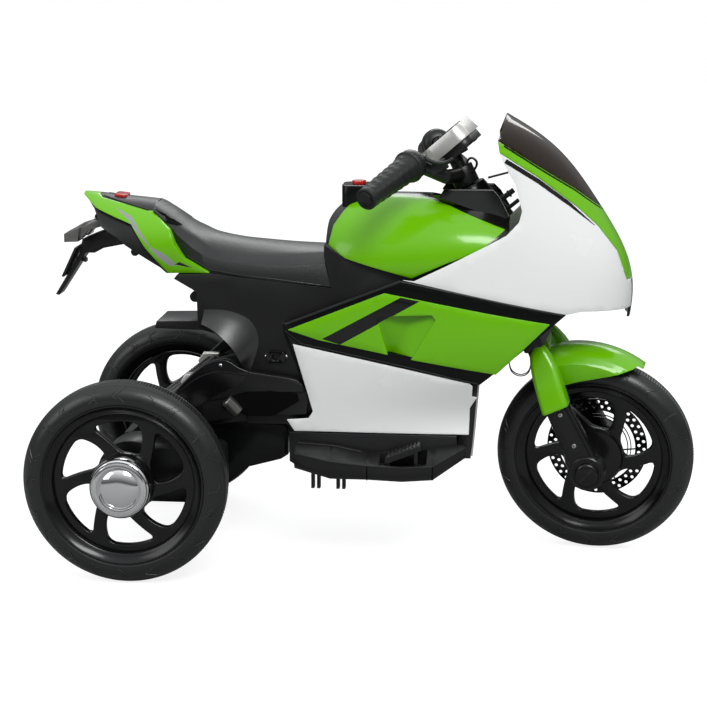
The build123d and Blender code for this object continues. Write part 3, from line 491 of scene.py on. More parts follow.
def tread_mesh():
    """The fine teeth round the middle of the tyre."""
    verts = []
    for i in range(2 * TREAD_TEETH):
        for across in TREAD_ROWS:
            top = i % 2 and abs(across) < 9.5
            x, y = polar(TREAD_TOP if top else TREAD_FOOT, 180 * i / TREAD_TEETH)
            verts.append((x / 1000, y / 1000, across / 1000))
    return mesh_of(verts, sheet_faces(2 * TREAD_TEETH, len(TREAD_ROWS), True))


def side_marks(side):
    """The bent marks and the two thin rings on one side of the tyre."""
    marks = []
    for i in range(SIDE_MARKS):
        middle = 360 * i / SIDE_MARKS
        lean = 1 if i % 2 else -1
        outer = [(129.5, middle - 3.4), (139.0, middle + 2.2 * lean), (150.0, middle - 3.0)]
        inner = [(133.0, middle + 1.8), (140.0, middle + 4.6 * lean), (147.5, middle + 1.8)]
        marks.append(tube_mesh(sidewall_line(outer, side), 0.75, 6))
        marks.append(tube_mesh(sidewall_line(inner, side), 0.6, 6))
    for radius in (131.0, 150.8):
        height = side * (sidewall(radius) - 0.1) / 1000
        points = [(x / 1000, y / 1000, height) for x, y in circle(radius, 120)]
        marks.append(tube_mesh(points, 0.4, 5, closed=True))
    return marks


def pit_shade_meshes():
    """Flat black discs in both sides of a tyre, which lie along its slope: painted shade in place of its round
    holes.
    """
    pits = []
    for side in (-1, 1):
        for i in range(PIT_COUNT):
            x, y = polar(PIT_RADIUS, 55 + 360 / PIT_COUNT * i)
            tilt = Matrix.Rotation(math.radians(PIT_TILT * side), 4, Vector((-y, x, 0)))
            place = Matrix.Translation((x / 1000, y / 1000, side * PIT_HEIGHT / 1000))
            pits.append(turned(PIT, 16, place @ tilt @ Matrix.Diagonal((1, 1, side, 1))))
    return pits


def spoke_middle(radius):
    """How far round a spoke's middle line has swept at this radius, in degrees."""
    return 17.0 * (radius - 46) / 45


def window_edge(radius):
    """Half width of a spoke at this radius, with the window's rounded corners added."""
    half = 10.0 + 3.2 * ((radius - 68) / 26) ** 2
    for end, way in ((WINDOW_INNER, 1), (WINDOW_OUTER, -1)):
        depth = (radius - end) * way
        if depth < WINDOW_CORNER:
            half += WINDOW_CORNER - math.sqrt(max(0.0, WINDOW_CORNER**2 - (WINDOW_CORNER - depth) ** 2))
    return half


def window(index):
    """The outline of the opening between two spokes."""
    radii = [WINDOW_INNER + (WINDOW_OUTER - WINDOW_INNER) * i / 28 for i in range(29)]
    first, second = SPOKE_FIRST + 360 / SPOKES * index, SPOKE_FIRST + 360 / SPOKES * (index + 1)
    left = [(r, first + spoke_middle(r) + math.degrees(window_edge(r) / r)) for r in radii]
    right = [(r, second + spoke_middle(r) - math.degrees(window_edge(r) / r)) for r in radii]
    top = [(radii[-1], left[-1][1] + (right[-1][1] - left[-1][1]) * i / 12) for i in range(1, 12)]
    low = [(radii[0], right[0][1] + (left[0][1] - right[0][1]) * i / 8) for i in range(1, 8)]
    return [polar(r, a) for r, a in (*left, *top, *right[::-1], *low)]


def brake_disc_meshes():
    """The disc with two rows of holes, two thin rings, six arms and a hub, on the far side of the wheel."""
    holes = [circle(2.7, 12, *polar(75.0, 10 * i)) for i in range(36)]
    holes += [circle(2.7, 12, *polar(67.0, 10 * i + 5)) for i in range(36)]
    disc = [plate_mesh([circle(80.0), circle(61.0), *holes], -34.4, -31.6, 0.3)]
    disc += [plate_mesh([circle(radius), circle(radius - 1.6)], -34.0, -32.0, 0.3) for radius in (50.0, 55.0)]
    for i in range(SPOKES):
        x0, y0 = polar(26, SPOKE_FIRST + 60 * i)
        x1, y1 = polar(62.5, SPOKE_FIRST + 60 * i + 12)
        disc.append(tube_mesh([(x0 / 1000, y0 / 1000, -0.033), (x1 / 1000, y1 / 1000, -0.033)], 1.35, 8))
    hub = ((6.2, -31.6), (28.0, -31.6), (29.0, -32.4), (29.0, -33.6), (28.0, -34.4), (6.2, -34.4))
    return [*disc, lathe_mesh(hub, 72)]


profile = [*TYRE_HALF_PROFILE, *[(r, -t) for r, t in TYRE_HALF_PROFILE[::-1]]]
tyre_mesh = joined([lathe_mesh(profile, 144), tread_mesh(), *side_marks(RIGHT), *side_marks(LEFT)])
pit_shade_mesh = joined(pit_shade_meshes())
rim_mesh = joined([
    lathe_mesh(BARREL, 128),
    plate_mesh([circle(108.5), *[window(i) for i in range(SPOKES)]], 2.0, 14.5, 2.4),
    lathe_mesh(HUB, 72),
])
cap_mesh = joined([lathe_mesh(CAP, 96, False), lathe_mesh(CAP_RING)])

OUTWARD = {RIGHT: Vector((0, -1, 0)), LEFT: Vector((0, 1, 0))}
fore = STEER_ACROSS * STEER_UP.z - STEER_UP * math.sqrt(1 - STEER_UP.z**2)
rear_left_place = Vector((REAR.x, -REAR.y, REAR.z))
wheel_frames = {
    "rear_right": (frame_of(REAR, FORWARD, OUTWARD[RIGHT]), "rear_wheel_right"),
    "rear_left": (frame_of(rear_left_place, -FORWARD, OUTWARD[LEFT]), "rear_wheel_left"),
    "front": (frame_of(FRONT, fore, -FRONT_AXIS), "front_wheel"),
}
for name, (place, body) in wheel_frames.items():
    end, _, word = name.partition("_")
    tail = f"_{word}" if word else ""
    piece(f"{name}_tyre_detail", placed(tyre_mesh, place), body, "tyre_rubber", (f"{end}_tyre{tail}",))
    piece(f"{name}_rim_detail", placed(rim_mesh, place), body, "black_gloss", (f"{end}_rim{tail}",))
    # Painted shade: black discs where the tyre's round holes are
    piece(f"{name}_tyre_hole_shade", placed(pit_shade_mesh, place), body, "tyre_rubber", look="shade_and_seam_black")
    if word:
        piece(f"hub_cap_{word}_detail", placed(cap_mesh, place), body, "chrome", (f"hub_cap_{word}",))
disc_mesh = placed(joined(brake_disc_meshes()), wheel_frames["front"][0])
piece("brake_disc_detail", disc_mesh, "front_wheel", "black_gloss", ("brake_disc",))

# ------ lines and small pieces laid on the solids
bpy.context.view_layer.update()


def skin(*names):
    """A tree of the faces of these solids, on which details are placed."""
    verts, faces = [], []
    for name in names:
        node = frame["nodes"][name]
        start = len(verts)
        verts += [node.matrix_world @ vertex.co for vertex in node.data.vertices]
        faces += [[start + i for i in face.vertices] for face in node.data.polygons]
    return BVHTree.FromPolygons(verts, faces)


def on_side(tree, x, z, side, lift, spare=None):
    """Where a look straight across at a body point meets the surface, raised by a little."""
    hit, normal, _, _ = tree.ray_cast(at(x, side * 400, z), Vector((0, -side, 0)))
    if hit is None:
        return None if spare is None else Vector((at(x, 0, z).x, spare.y, at(x, 0, z).z))
    return hit + normal * math.copysign(lift / 1000, normal.y * side)


def along(points, step=5.0):
    """Points every few millimetres on the straight runs between corners."""
    line = []
    for start, end in zip(points, points[1:]):
        start, end = Vector(start), Vector(end)
        count = max(1, round((end - start).length / step))
        line += [start.lerp(end, i / count) for i in range(count)]
    return [*line, Vector(points[-1])]


def surface_tube(tree, points, side, radius, lift):
    """A thin round moulding along side-view points of a surface."""
    line = [on_side(tree, p.x, p.y, side, lift) for p in along(points)]
    return tube_mesh([p for p in line if p is not None], radius, 8)


def surface_strip(tree, points, widths, side, lift):
    """A flat strip on a surface, whose width runs evenly through the given values."""
    line = along(points)
    verts = []
    for i, here in enumerate(line):
        run = (line[min(i + 1, len(line) - 1)] - line[max(i - 1, 0)]).normalized()
        place = i / (len(line) - 1) * (len(widths) - 1)
        low = min(int(place), len(widths) - 2)
        half = (widths[low] + (widths[low + 1] - widths[low]) * (place - low)) / 2
        middle = on_side(tree, here.x, here.y, side, lift) or at(here.x, side * 60, here.y)
        for way in (-half, half):
            verts.append(on_side(tree, here.x - run.y * way, here.y + run.x * way, side, lift, middle))
    return mesh_of(verts, sheet_faces(len(line), 2))


def both(make):
    """The right-hand and left-hand copies of a detail, as one list of meshes."""
    return [make(RIGHT), make(LEFT)]


def screws(name, places, body, radius):
    """Round-headed screws with a cross in their heads, painted as flat black bars of shade, at (place in metres,
    direction outward) pairs.
    """
    dome = ((0.05, 2.1), (1.0, 2.0), (radius - 0.7, 1.5), (radius, 0.6), (radius, -1.0))
    bar = [Vector((x, y, 2.12)) / 1000 for x, y in ((-1.7, -0.35), (1.7, -0.35), (1.7, 0.35), (-1.7, 0.35))]
    heads, marks = [], []
    for place, outward in places:
        local = frame_of(place, outward.orthogonal(), outward)
        heads.append(turned(dome, 20, local))
        # The cross: two flat black bars, painted shade in place of the slots' depth
        for turn in (0.4, 0.4 + math.pi / 2):
            marks.append(placed(mesh_of(bar, [(0, 1, 2, 3)]), local @ Matrix.Rotation(turn, 4, "Z")))
    piece(name, heads, body, "steel")
    piece(f"{name}_slots", marks, body, look="shade_and_seam_black")


# Lips along the side frames' edges, and the dark lines on the nose
frames = skin("side_frame_right", "side_frame_left")
fairing = skin("fairing_right", "fairing_left")
band = skin("nose_band")
LIPS = (
    (((228, 377), (404, 446.5)), 2.3, -0.6),
    (((404, 446.5), (520, 424), (648, 396.5)), 1.2, -0.4),
    (((228, 367), (252, 347.5), (420, 313.5), (522, 290)), 1.2, -0.4),
)
lips = [surface_tube(frames, points, side, radius, lift) for side in SIDES for points, radius, lift in LIPS]
piece("frame_lips", lips)
FAIRING_LINE = ((558, 626.5), (607, 596), (655, 561), (694, 528))
BAND_LINE = ((555, 648.5), (611, 612.5), (663, 580.5), (707, 547.5))
lines = both(lambda side: surface_strip(fairing, FAIRING_LINE, (6.5, 6.5, 5.5, 0.6), side, 0.35))
lines += both(lambda side: surface_strip(band, BAND_LINE, (2.4, 2.4, 2.2, 1.2), side, 0.35))
piece("nose_lines", lines, slot="black_gloss")

# The seat's cushion: x, crown height, upper and lower crease (half width, height), lower edge height
CUSHION = (
    (15, 551, 42, 546, 53, 541.5, 540), (23, 548, 44, 541, 56, 535.5, 533),
    (44, 535.5, 48, 525.5, 61, 517, 514), (52, 529.5, 50, 519, 63, 508, 494),
    (67, 518.5, 54, 509, 68, 496, 471.5), (83, 509.5, 58, 501.5, 72, 484, 463),
    (108, 501, 62, 486, 78.5, 472.5, 450.5), (142, 494.5, 65, 477, 83.5, 466, 446.5),
    (172, 491, 66, 475, 87, 464, 443), (228, 486.5, 60, 476, 88, 463, 437.5),
    (284, 484, 48, 478.5, 86, 467, 431.5),
)
CROWN_STEPS = 5
FRONT_LEAN, LEAN_FROM = 0.25, 478


def half_cushion(side):
    """Lines along one half, from its middle out and down to its lower edge, with the ends shut."""
    lines = [[] for _ in range(CROWN_STEPS + 6)]
    for x, crown_z, upper_y, upper_z, lower_y, lower_z, edge_z in CUSHION:
        across = [(upper_y * i / CROWN_STEPS, crown_z - (crown_z - upper_z) * (i / CROWN_STEPS) ** 2.2)
                  for i in range(CROWN_STEPS + 1)]
        across += [(upper_y + 3, upper_z - 2.2), (lower_y - 2.5, lower_z + 1.8), (lower_y, lower_z - 0.8),
                   (lower_y - 0.3, edge_z), (lower_y - 9, edge_z)]
        for line, (y, z) in zip(lines, across):
            lean = FRONT_LEAN * max(0, LEAN_FROM - z) if x == CUSHION[-1][0] else 0
            line.append(at(x + lean, side * y, z))
    runs = [smooth_run(line, 5) for line in lines]
    length = len(runs[0])
    verts = [point for run in runs for point in run]
    faces = sheet_faces(len(runs), length)
    for k, (x, *_, edge_z) in ((0, CUSHION[0]), (length - 1, CUSHION[-1])):
        faces.append((*[length * i + k for i in range(len(runs))], len(verts)))
        verts.append(at(x, 0, edge_z))
    return mesh_of(verts, faces)


cushion = piece("seat_cushion", both(half_cushion), slot="black_seat", stands_for=("seat",), angle=50).data
seat_skin = BVHTree.FromPolygons([v.co for v in cushion.vertices], [p.vertices for p in cushion.polygons])
cowl = skin("tail_cowl", "tail_top")
HUMP_SHADOW = ((17.5, 540.5), (23, 536.5), (38, 526), (58, 517.5))
SEAT_RIDGE = ((70, 474), (107, 454), (157, 447.5), (228, 440.5), (280, 434))
COWL_RIDGE = ((-70, 559), (-42, 552.5), (5, 541.5))
# Painted shadow: a flat black strip on the cushion under the hump's overhang, where shade falls
hump_shadow = both(lambda side: surface_strip(seat_skin, HUMP_SHADOW, (3.0, 7.0, 6.0, 0.8), side, 1.0))
piece("seat_hump_shadow", hump_shadow, slot="black_seat", look="shade_and_seam_black")
ridge = both(lambda side: surface_tube(seat_skin, SEAT_RIDGE, side, 1.3, -0.5))
ridge += both(lambda side: surface_tube(cowl, COWL_RIDGE, side, 0.9, -0.3))
piece("seat_ridges", ridge, slot="black_seat")

# The tail lamp: a low rounded lens that lies along the tail top
LENS_HALVES, LENS_CORNER = (10, 16), 5
lens_outline = rounded_box((0, 0), LENS_HALVES, LENS_CORNER, 4)
lens_place, lens_normal, _, _ = cowl.ray_cast(at(-45, 0, 700), DOWN)
lens = placed(plate_mesh([lens_outline], -3.0, 2.6, 1.2), frame_of(lens_place, FORWARD, lens_normal))
piece("tail_lamp_lens", lens, slot="red_plastic", stands_for=("tail_lamp",))

# The flare round each wheel arch swells out from the body's side: (x, z) of its edge and root, and its swell
FLARE = (
    ((95, 371), (99, 393), 6), ((108, 366), (127, 393), 11), ((122, 358), (150, 388), 16),
    ((134, 348), (168, 379), 19), ((145, 336), (179, 364), 20), ((152, 324), (183, 346), 19),
    ((157, 312), (180, 328), 14), ((154, 303), (170, 299), 6),
)
FLARE_STEPS = (0, 0.15, 0.35, 0.6, 0.8, 1)
BODY_SIDE = 88.0
flare_edge = smooth_run([(*edge, swell) for edge, root, swell in FLARE], 4)
flare_root = smooth_run([(*root, 0) for edge, root, swell in FLARE], 4)


def flare_mesh(side):
    """One flare, closed at its two ends."""
    verts = []
    row = len(FLARE_STEPS) + 1
    for edge, root in zip(flare_edge, flare_root):
        verts.append(at(edge.x, side * (BODY_SIDE - 0.1), edge.y))
        for part in FLARE_STEPS:
            x, z = edge.x + (root.x - edge.x) * part, edge.y + (root.y - edge.y) * part
            verts.append(at(x, side * (BODY_SIDE + edge.z * (1 - part) ** 1.25), z))
    ends = [tuple(range(row)), tuple(range(len(verts) - 1, len(verts) - 1 - row, -1))]
    return mesh_of(verts, sheet_faces(len(flare_edge), row) + ends)


piece("arch_flares", both(flare_mesh), slot="black_gloss", look="black_satin", angle=50)

# Screws, the stubs on the swing arms, and the knobs and webs at the tail
screws("socket_screws", [(at(x, -88.1, 321), OUTWARD[RIGHT]) for x in (195, 226)], "chassis", 2.9)
screws("arm_screws", [(at(126, side * 104.4, 309), OUTWARD[side]) for side in SIDES], "chassis", 2.8)
STUB = ((0.05, 14), (8.6, 14), (10.2, 12.4), (10.2, -12.6), (8.8, -14), (0.05, -14))
KNOBS = ((-26, 468, 6.5, 9), (70, 398, 8.5, 12), (-82, 524, 6, 14))
WEBS = (((-26, 468), (-10, 486)), ((70, 398), (88, 404)), ((-82, 524), (-68, 532)))
stubs, knobs = [], []
for side, outward in OUTWARD.items():
    lie = at(133, side * 104, 255) - at(153, side * 98, 233)
    stubs.append(turned(STUB, 40, frame_of(at(143, side * 101, 244), outward, lie)))
    for x, z, radius, reach in KNOBS:
        form = ((0.05, reach), (radius - 1.5, reach), (radius, reach - 1.5), (radius, -0.5))
        knobs.append(turned(form, 32, frame_of(at(x, 0, z), FORWARD, outward)))
piece("arm_stubs", stubs, look="dark_metal")
webs = [tube_mesh(run_of(points, 0), 5.0, 12) for points in WEBS]
piece("tail_knobs", [*knobs, *webs])

# The ribbed pads on top of the swing arms, with a block at their upper end
ARM_RIBS = 22
ARM_BLOCK = [(58, 277), (66, 289), (92, 289), (95, 279), (84, 268), (62, 266)]
pads = []
for side in SIDES:
    for i in range(ARM_RIBS):
        part = i / (ARM_RIBS - 1)
        x, z = -6 + 82 * part, 217 + 66 * part
        pads.append(tube_mesh([at(x, side * 62, z), at(x, side * 87, z)], 1.9, 8))
    for y in (64, 85):
        pads.append(tube_mesh([at(-4, side * y, 212), at(88, side * y, 285)], 4.5, 10))
blocks = both(lambda side: side_plate(ARM_BLOCK, side, 66, 84, 2.0))
piece("arm_ribs", pads, slot="silver", look="dull_grey")
piece("arm_blocks", blocks, slot="silver")

# The raised flank of each swing arm, a flat black strip below it that is painted shade under that overhang, and
# the seams of the gearboxes
HOOD = ((48, 259), (67, 281), (91, 303), (107, 312.6), (125, 317), (138, 316), (154, 306), (171, 299.5))
HOOD_FOOT = [(163, 284), (140, 270), (112, 256), (84, 236)]
HOOD_LINE = ((54, 258), (70, 273), (91, 288), (112, 296), (130, 298), (150, 296), (166, 294))
ARM_SHADE_STRIP = ((127, 243), (146, 247), (200, 249), (246, 260))
BOX_SEAM = ((103, 209), (116, 212), (129, 208), (137, 194), (164, 199), (190, 206), (214, 213))
FLANK_SEAM = ((228, 379), (222, 373), (223, 361), (231, 339), (243, 309), (248, 292))
arms, boxes = skin("swing_arms"), skin("gearboxes")
flank = skin("side_frame_right", "side_frame_left", "main_body")
hood_outline = [*smooth_run(HOOD, 4), *HOOD_FOOT]
hoods, under_arm_shades, seams = [], [], []
for side in SIDES:
    hoods.append(side_plate(hood_outline, side, 89.0, 103.8, 2.0))
    hoods.append(tube_mesh(smooth_run(run_of(HOOD_LINE, side * 103.4), 3), 1.5, 8))
    # Painted shade: a flat black strip on the arm, under the overhang of its raised flank
    under_arm_shades.append(surface_strip(arms, ARM_SHADE_STRIP, (8, 39, 40, 12), side, 0.8))
    seams.append(surface_tube(boxes, BOX_SEAM, side, 1.4, -0.3))
    seams.append(surface_tube(flank, FLANK_SEAM, side, 1.8, -0.4))
piece("arm_hoods", hoods, slot="black_gloss")
piece("arm_painted_shade", under_arm_shades, look="shade_and_seam_black")
piece("box_seams", seams, slot="black_gloss")

# ------ grille, footrests and pedal
GRILLE_FOOT, GRILLE_HEAD = at(513.3, 0, 168), at(521.8, 0, 282)
GRILLE_OUTLINE = [(-84, 0.5), (84, 0.5), (84, 114), (-84, 114)]
HOLE_STEP, ROW_STEP = 9.6, 9
grille_holes = []
for row in range(12):
    for column in range(17):
        x = (column - 8) * HOLE_STEP + (HOLE_STEP / 2 if row % 2 else 0)
        if abs(x) < 79:
            grille_holes.append([(x + 3.7 * c, 8 + row * ROW_STEP + 4.0 * s) for c, s in circle(1.0, 6)])
grille = plate_mesh([GRILLE_OUTLINE, *grille_holes], 0.1, 2.4, 0.5)
grille.transform(frame_of(
    GRILLE_FOOT, OUTWARD[LEFT], OUTWARD[LEFT].cross((GRILLE_HEAD - GRILLE_FOOT).normalized())))
piece("grille_mesh", grille, slot="steel", look="silver")

FOOT_LIP = ((246, 144, 182.4), (300, 149.5, 172), (355, 149.5, 167), (410, 149.5, 165), (455, 149.5, 168))
FOOT_INNER_LIP = ((246, 112, 190.6), (300, 112, 187.4), (345, 112, 178.6))
FOOT_SEAMS = ((357, 144, 166), (457, 147, 168))
trims, seams = [], []
for side in SIDES:
    trims.append(tube_mesh(body_run(FOOT_LIP, side), 1.3, 8))
    trims.append(tube_mesh(body_run(FOOT_INNER_LIP, side), 1.1, 8))
    for x, low, high in FOOT_SEAMS:
        for line_x in (x - 0.5, x + 0.5):
            seams.append(tube_mesh(run_of(((line_x, low), (line_x, high)), side * 150.0), 0.5, 5))
piece("footrest_lips", trims)
piece("footrest_seams", seams, look="shade_and_seam_black")
teeth = []
for i in range(9):
    x, z = 387.5 + 5.6 * i, 179.7 + 2.26 * i
    teeth.append(tube_mesh([at(x, -113, z), at(x + 2.4, -127, z + 1), at(x, -141, z)], 1.5, 6))
piece("pedal_ribs", teeth)

# ------ fork
BAR_TOP = 512.0
STEER_OUTWARD = {RIGHT: -FRONT_AXIS, LEFT: FRONT_AXIS}
LEG_END = (
    (0.05, 4.2), (12, 3.6), (16, 2.4), (17.6, 0.6), (18, -1.2), (19, -3.4), (20.4, -3.6), (21.4, -2.2),
    (25.6, -2.2), (27.2, -3.6), (27.2, -6),
)
LEG_DISC = ((0.05, -32), (25, -32), (27, -30), (27, 0), (0.05, 0))
LEG_PANEL = [(-7, 36), (7, 36), (9, 40), (9, 110), (6, 114), (-6, 114), (-9, 110), (-9, 40)]
LEG = ((0, -21, 21, 98, 66), (60, -21, 19, 93.5, 64), (112, -21, 16, 88.8, 61), (142, -18.5, 17, 82, 55),
       (177, -14, 16, 70, 49.5), (206, -13, 12, 63, 48.5))
COVER = ((110, -24, 17.5, 97, 70), (113, -25, 18.5, 99, 62), (141, -22, 20.5, 92, 55), (160, -20, 22, 85, 51),
         (176, -17.5, 22, 79, 49), (196, -12, 18.5, 71, 49), (205, -6, 15, 67, 49), (208, -2, 12, 65, 50))
CROWN = ((203, -15, 13, 64, -64), (205, -17, 15, 66, -66), (222, -17, 15, 66, -66), (233, -15, 14, 46, -46),
         (241, -13, 13, 26, -26))
ends, panels, leg_screws, covers = [], [], [], []
for side, outward in STEER_OUTWARD.items():
    word = "right" if side == RIGHT else "left"
    end_place = frame_of(steered(0, side * 102.0, 0), STEER_ACROSS, outward)
    ends.append(turned(LEG_END, 64, end_place))
    leg_up = (steered(0, side * 80.2, 211) - steered(0, side * 98.2, 0)).normalized()
    face_out = (outward - leg_up * outward.dot(leg_up)).normalized()
    panel_turn = Matrix((leg_up.cross(face_out), leg_up, face_out)).transposed().to_4x4()
    panel_place = Matrix.Translation(steered(0, side * 98.0, 0)) @ panel_turn
    panels.append(placed(plate_mesh([LEG_PANEL], -0.5, 1.6, 0.7), panel_place))
    for height in (48, 100):
        leg_screws.append((steered(0, side * (99.6 - 18 * height / 211.7), height), face_out))
    disc_place = frame_of(steered(0, side * 99.0, 0), STEER_ACROSS, outward)
    leg = joined([
        loft_mesh(smooth_run(LEG, 4), side, 7.0),
        turned(LEG_DISC, 64, disc_place),
    ])
    piece(f"fork_leg_{word}_detail", leg, "steering", "black_gloss", (f"fork_leg_{word}",))
    covers.append(loft_mesh(smooth_run(COVER, 4), side, 9.0, 8))
piece("fork_cover_shells", covers, "steering", "green_gloss", ("fork_covers",), angle=60)
crown = joined([
    loft_mesh(CROWN, RIGHT, 7.0),
    tube_mesh([steered(0, 0, 236), steered(0, 0, BAR_TOP)], 11.0, 32),
])
piece("fork_crown_detail", crown, "steering", slots["fork_crown"], ("fork_crown",))
piece("leg_ends", ends, "steering", "black_gloss")
piece("leg_panels", panels, "steering")
screws("leg_screws", leg_screws, "steering", 3.6)

# ------ grips and brake levers
GRIP_LENGTH, GRIP_SIDES, GRIP_ROWS = 120, 60, 66
GRIP_END = (
    (16.6, 4), (15.8, 2.8), (13.2, 2.4), (12.4, 3.2), (11.6, 3.2), (10.8, 2.4), (4.6, 2.2), (4, 2.6),
)
# A flat black disc in each grip's open end: painted shade in place of the hollow bar
GRIP_HOLE_SHADE = ((4.2, 2.5), (0.05, 2.5))
FLANGE = (
    (12, 119.2), (22.6, 119.6), (24.6, 121.2), (25, 123.4), (24.2, 125.6), (21, 126.6), (12, 126.6),
)
COLLAR = (
    (11.1, 127.4), (21.4, 127.4), (23.4, 129), (23.4, 136), (21.6, 139.6), (17, 142.6), (11.1, 144),
)
PERCH = [(-9, -8), (10, -8), (16, -2), (16, 6), (10, 9), (-9, 9)]
LEVER = (
    (-26, 84, 40), (-20, 85, 34), (-14, 86, 24), (-5, 88, 16.5), (8, 92, 12.5), (16, 95, 12.5), (22, 97, 15),
)
LEVER_HALF_WIDTHS = (6, 6.5, 6.5, 6, 5.4, 4.6, 3)
LEVER_HALF_THICKNESS = 3.4
LEVER_SIDES = 12


def grip_mesh():
    """The rubber sleeve of a grip along local Z: swollen at both ends, with crossed ribs between."""
    verts = []
    for j in range(GRIP_ROWS + 1):
        s = 4 + 116.0 * j / GRIP_ROWS
        swell = 0.8 * math.exp(-((s - 7) / 5) ** 2) + 1.6 * math.exp(-((s - GRIP_LENGTH) / 9) ** 2)
        for i in range(GRIP_SIDES):
            angle = 2 * math.pi * i / GRIP_SIDES
            facet = math.sin(angle * 5 + s * 0.20) * math.sin(angle * 5 - s * 0.20)
            rib = 1.1 * max(0.0, facet) ** 0.6 if 13 < s < 111 else 0.3
            r = 15.4 + 5.0 * s / GRIP_LENGTH + swell + rib
            verts.append((r * math.cos(angle) / 1000, r * math.sin(angle) / 1000, s / 1000))
    return mesh_of(verts, sheet_faces(GRIP_ROWS + 1, GRIP_SIDES, rings=True))


def lever_meshes(side):
    """A curved blade, flat to the bar, and its pivot."""
    line = [steered(u, side * y, BAR_TOP + v) for u, y, v in LEVER]
    blade = tube_mesh(line, 1.0, LEVER_SIDES)
    for i, middle in enumerate(line):
        for vertex in blade.vertices[LEVER_SIDES * i:LEVER_SIDES * (i + 1)]:
            offset = (vertex.co - middle) * 1000
            flat = offset.dot(FRONT_AXIS)
            thick = (offset - FRONT_AXIS * flat) * LEVER_HALF_THICKNESS
            vertex.co = middle + (thick + FRONT_AXIS * flat * LEVER_HALF_WIDTHS[i]) / 1000
    return [blade, tube_mesh([line[1] - FRONT_AXIS * 0.009, line[1] + FRONT_AXIS * 0.009], 4.6, 20)]


grip_parts, collars, bar_end_shades = [], [], []
for side in SIDES:
    bar_end = steered(-93, side * 215, BAR_TOP + 22)
    bar_bend = steered(-38, side * 88, BAR_TOP + 32)
    local = frame_of(bar_end, STEER_UP, bar_bend - bar_end)
    grip_parts += [placed(grip_mesh(), local), turned(GRIP_END, 48, local), turned(FLANGE, 64, local)]
    bar_end_shades.append(turned(GRIP_HOLE_SHADE, 24, local))
    collars.append(turned(COLLAR, 56, local))
    perch_place = frame_of(steered(-12, side * 76, BAR_TOP + 14), STEER_ACROSS, STEER_UP)
    collars.append(placed(plate_mesh([PERCH], -11, 5, 1.4), perch_place))
piece("bar_end_shades", bar_end_shades, "steering", look="shade_and_seam_black")
levers = [*lever_meshes(RIGHT), *lever_meshes(LEFT)]
lever_piece = piece("brake_lever_blades", levers, "steering", stands_for=("brake_levers",), angle=50)
softened = lever_piece.modifiers.new("soften", "SUBSURF")
softened.levels = softened.render_levels = 1
piece("grip_detail", grip_parts, "steering", "grip_rubber", ("grips",), angle=60)
piece("bar_collars", collars, "steering")

# ------ dash
DASH_TILT = math.radians(15)
DIAL_AHEAD_M = 0.006
DIAL = ((19.4, 0.2), (19.4, 1.4), (18.4, 1.9), (17.2, 1.4), (16.8, 0.5), (0.05, 0.5))
dash_across = STEER_ACROSS * math.cos(DASH_TILT) + STEER_UP * math.sin(DASH_TILT)
dash_up = STEER_UP * math.cos(DASH_TILT) - STEER_ACROSS * math.sin(DASH_TILT)
dash_place = frame_of(steered(1.4, 0, BAR_TOP + 46), dash_across, dash_up)
dials, marks = [], []
for y in (-22, 22):
    dial_place = dash_place @ Matrix.Translation((DIAL_AHEAD_M, y / 1000, 0))
    dials.append(turned(DIAL, 48, dial_place))
    for i in range(11):
        x0, y0 = polar(11.5, -120 + 24 * i)
        x1, y1 = polar(15.2, -120 + 24 * i)
        tick = [(x0 / 1000, y0 / 1000, 0.0006), (x1 / 1000, y1 / 1000, 0.0006)]
        marks.append(placed(tube_mesh(tick, 0.35, 5), dial_place))
    marks.append(placed(tube_mesh([(0, 0, 0.0009), (0.012, 0.005, 0.0009)], 0.6, 5), dial_place))
piece("dash_dials", dials, "steering")
piece("dash_marks", marks, "steering", "white_gloss")

# ------ about the steering column
CABLE = ((490, 604), (499, 602), (508, 604), (513, 611), (513, 618), (507, 623), (501, 621), (498, 612))
cable = smooth_run(run_of(CABLE, -14))
piece("column_cable", tube_mesh(cable, 1.9, 10), "steering")
# A rod, a plug with two ribs and three stays: ends, place across, radius, sides
BRACES = (
    (((531, 592.5), (562, 601)), -8, 1.7, 10),
    (((549, 558), (571, 575)), -16, 4.2, 14),
    (((555, 562), (557, 563.6)), -16, 6, 14),
    (((563, 568.4), (565, 570)), -16, 6, 14),
    (((562, 546), (579, 560)), -16, 3.2, 12),
    (((537, 578), (565, 536)), -20, 2, 10),
    (((537, 578), (565, 536)), 20, 2, 10),
)
braces = [tube_mesh(run_of(points, y), radius, sides) for points, y, radius, sides in BRACES]
piece("nose_braces", braces)

# The dark cheeks beside the column, ahead of the tank: x, y, z of their outer corners
NECK = ((464, 42, 576.5), (540, 40, 576.5), (549, 44, 567), (565, 58, 539), (556, 62, 534), (458, 58, 567))
NECK_THICKNESS = 3


def cheek_mesh(side):
    """One cheek: its outer face, its inner face and the rim between them."""
    count = len(NECK)
    verts = body_run(NECK, side) + body_run([(x, y - NECK_THICKNESS, z) for x, y, z in NECK], side)
    faces = [tuple(range(count)), tuple(range(2 * count - 1, count - 1, -1))]
    for i in range(count):
        k = (i + 1) % count
        faces.append((i, count + i, count + k, k))
    return mesh_of(verts, faces)


cheeks = []
for side in SIDES:
    cheeks += [cheek_mesh(side), tube_mesh(body_run(NECK[:4], side), 2.0, 8)]
piece("neck_cheeks", cheeks, slot="black_gloss", look="deep_black")

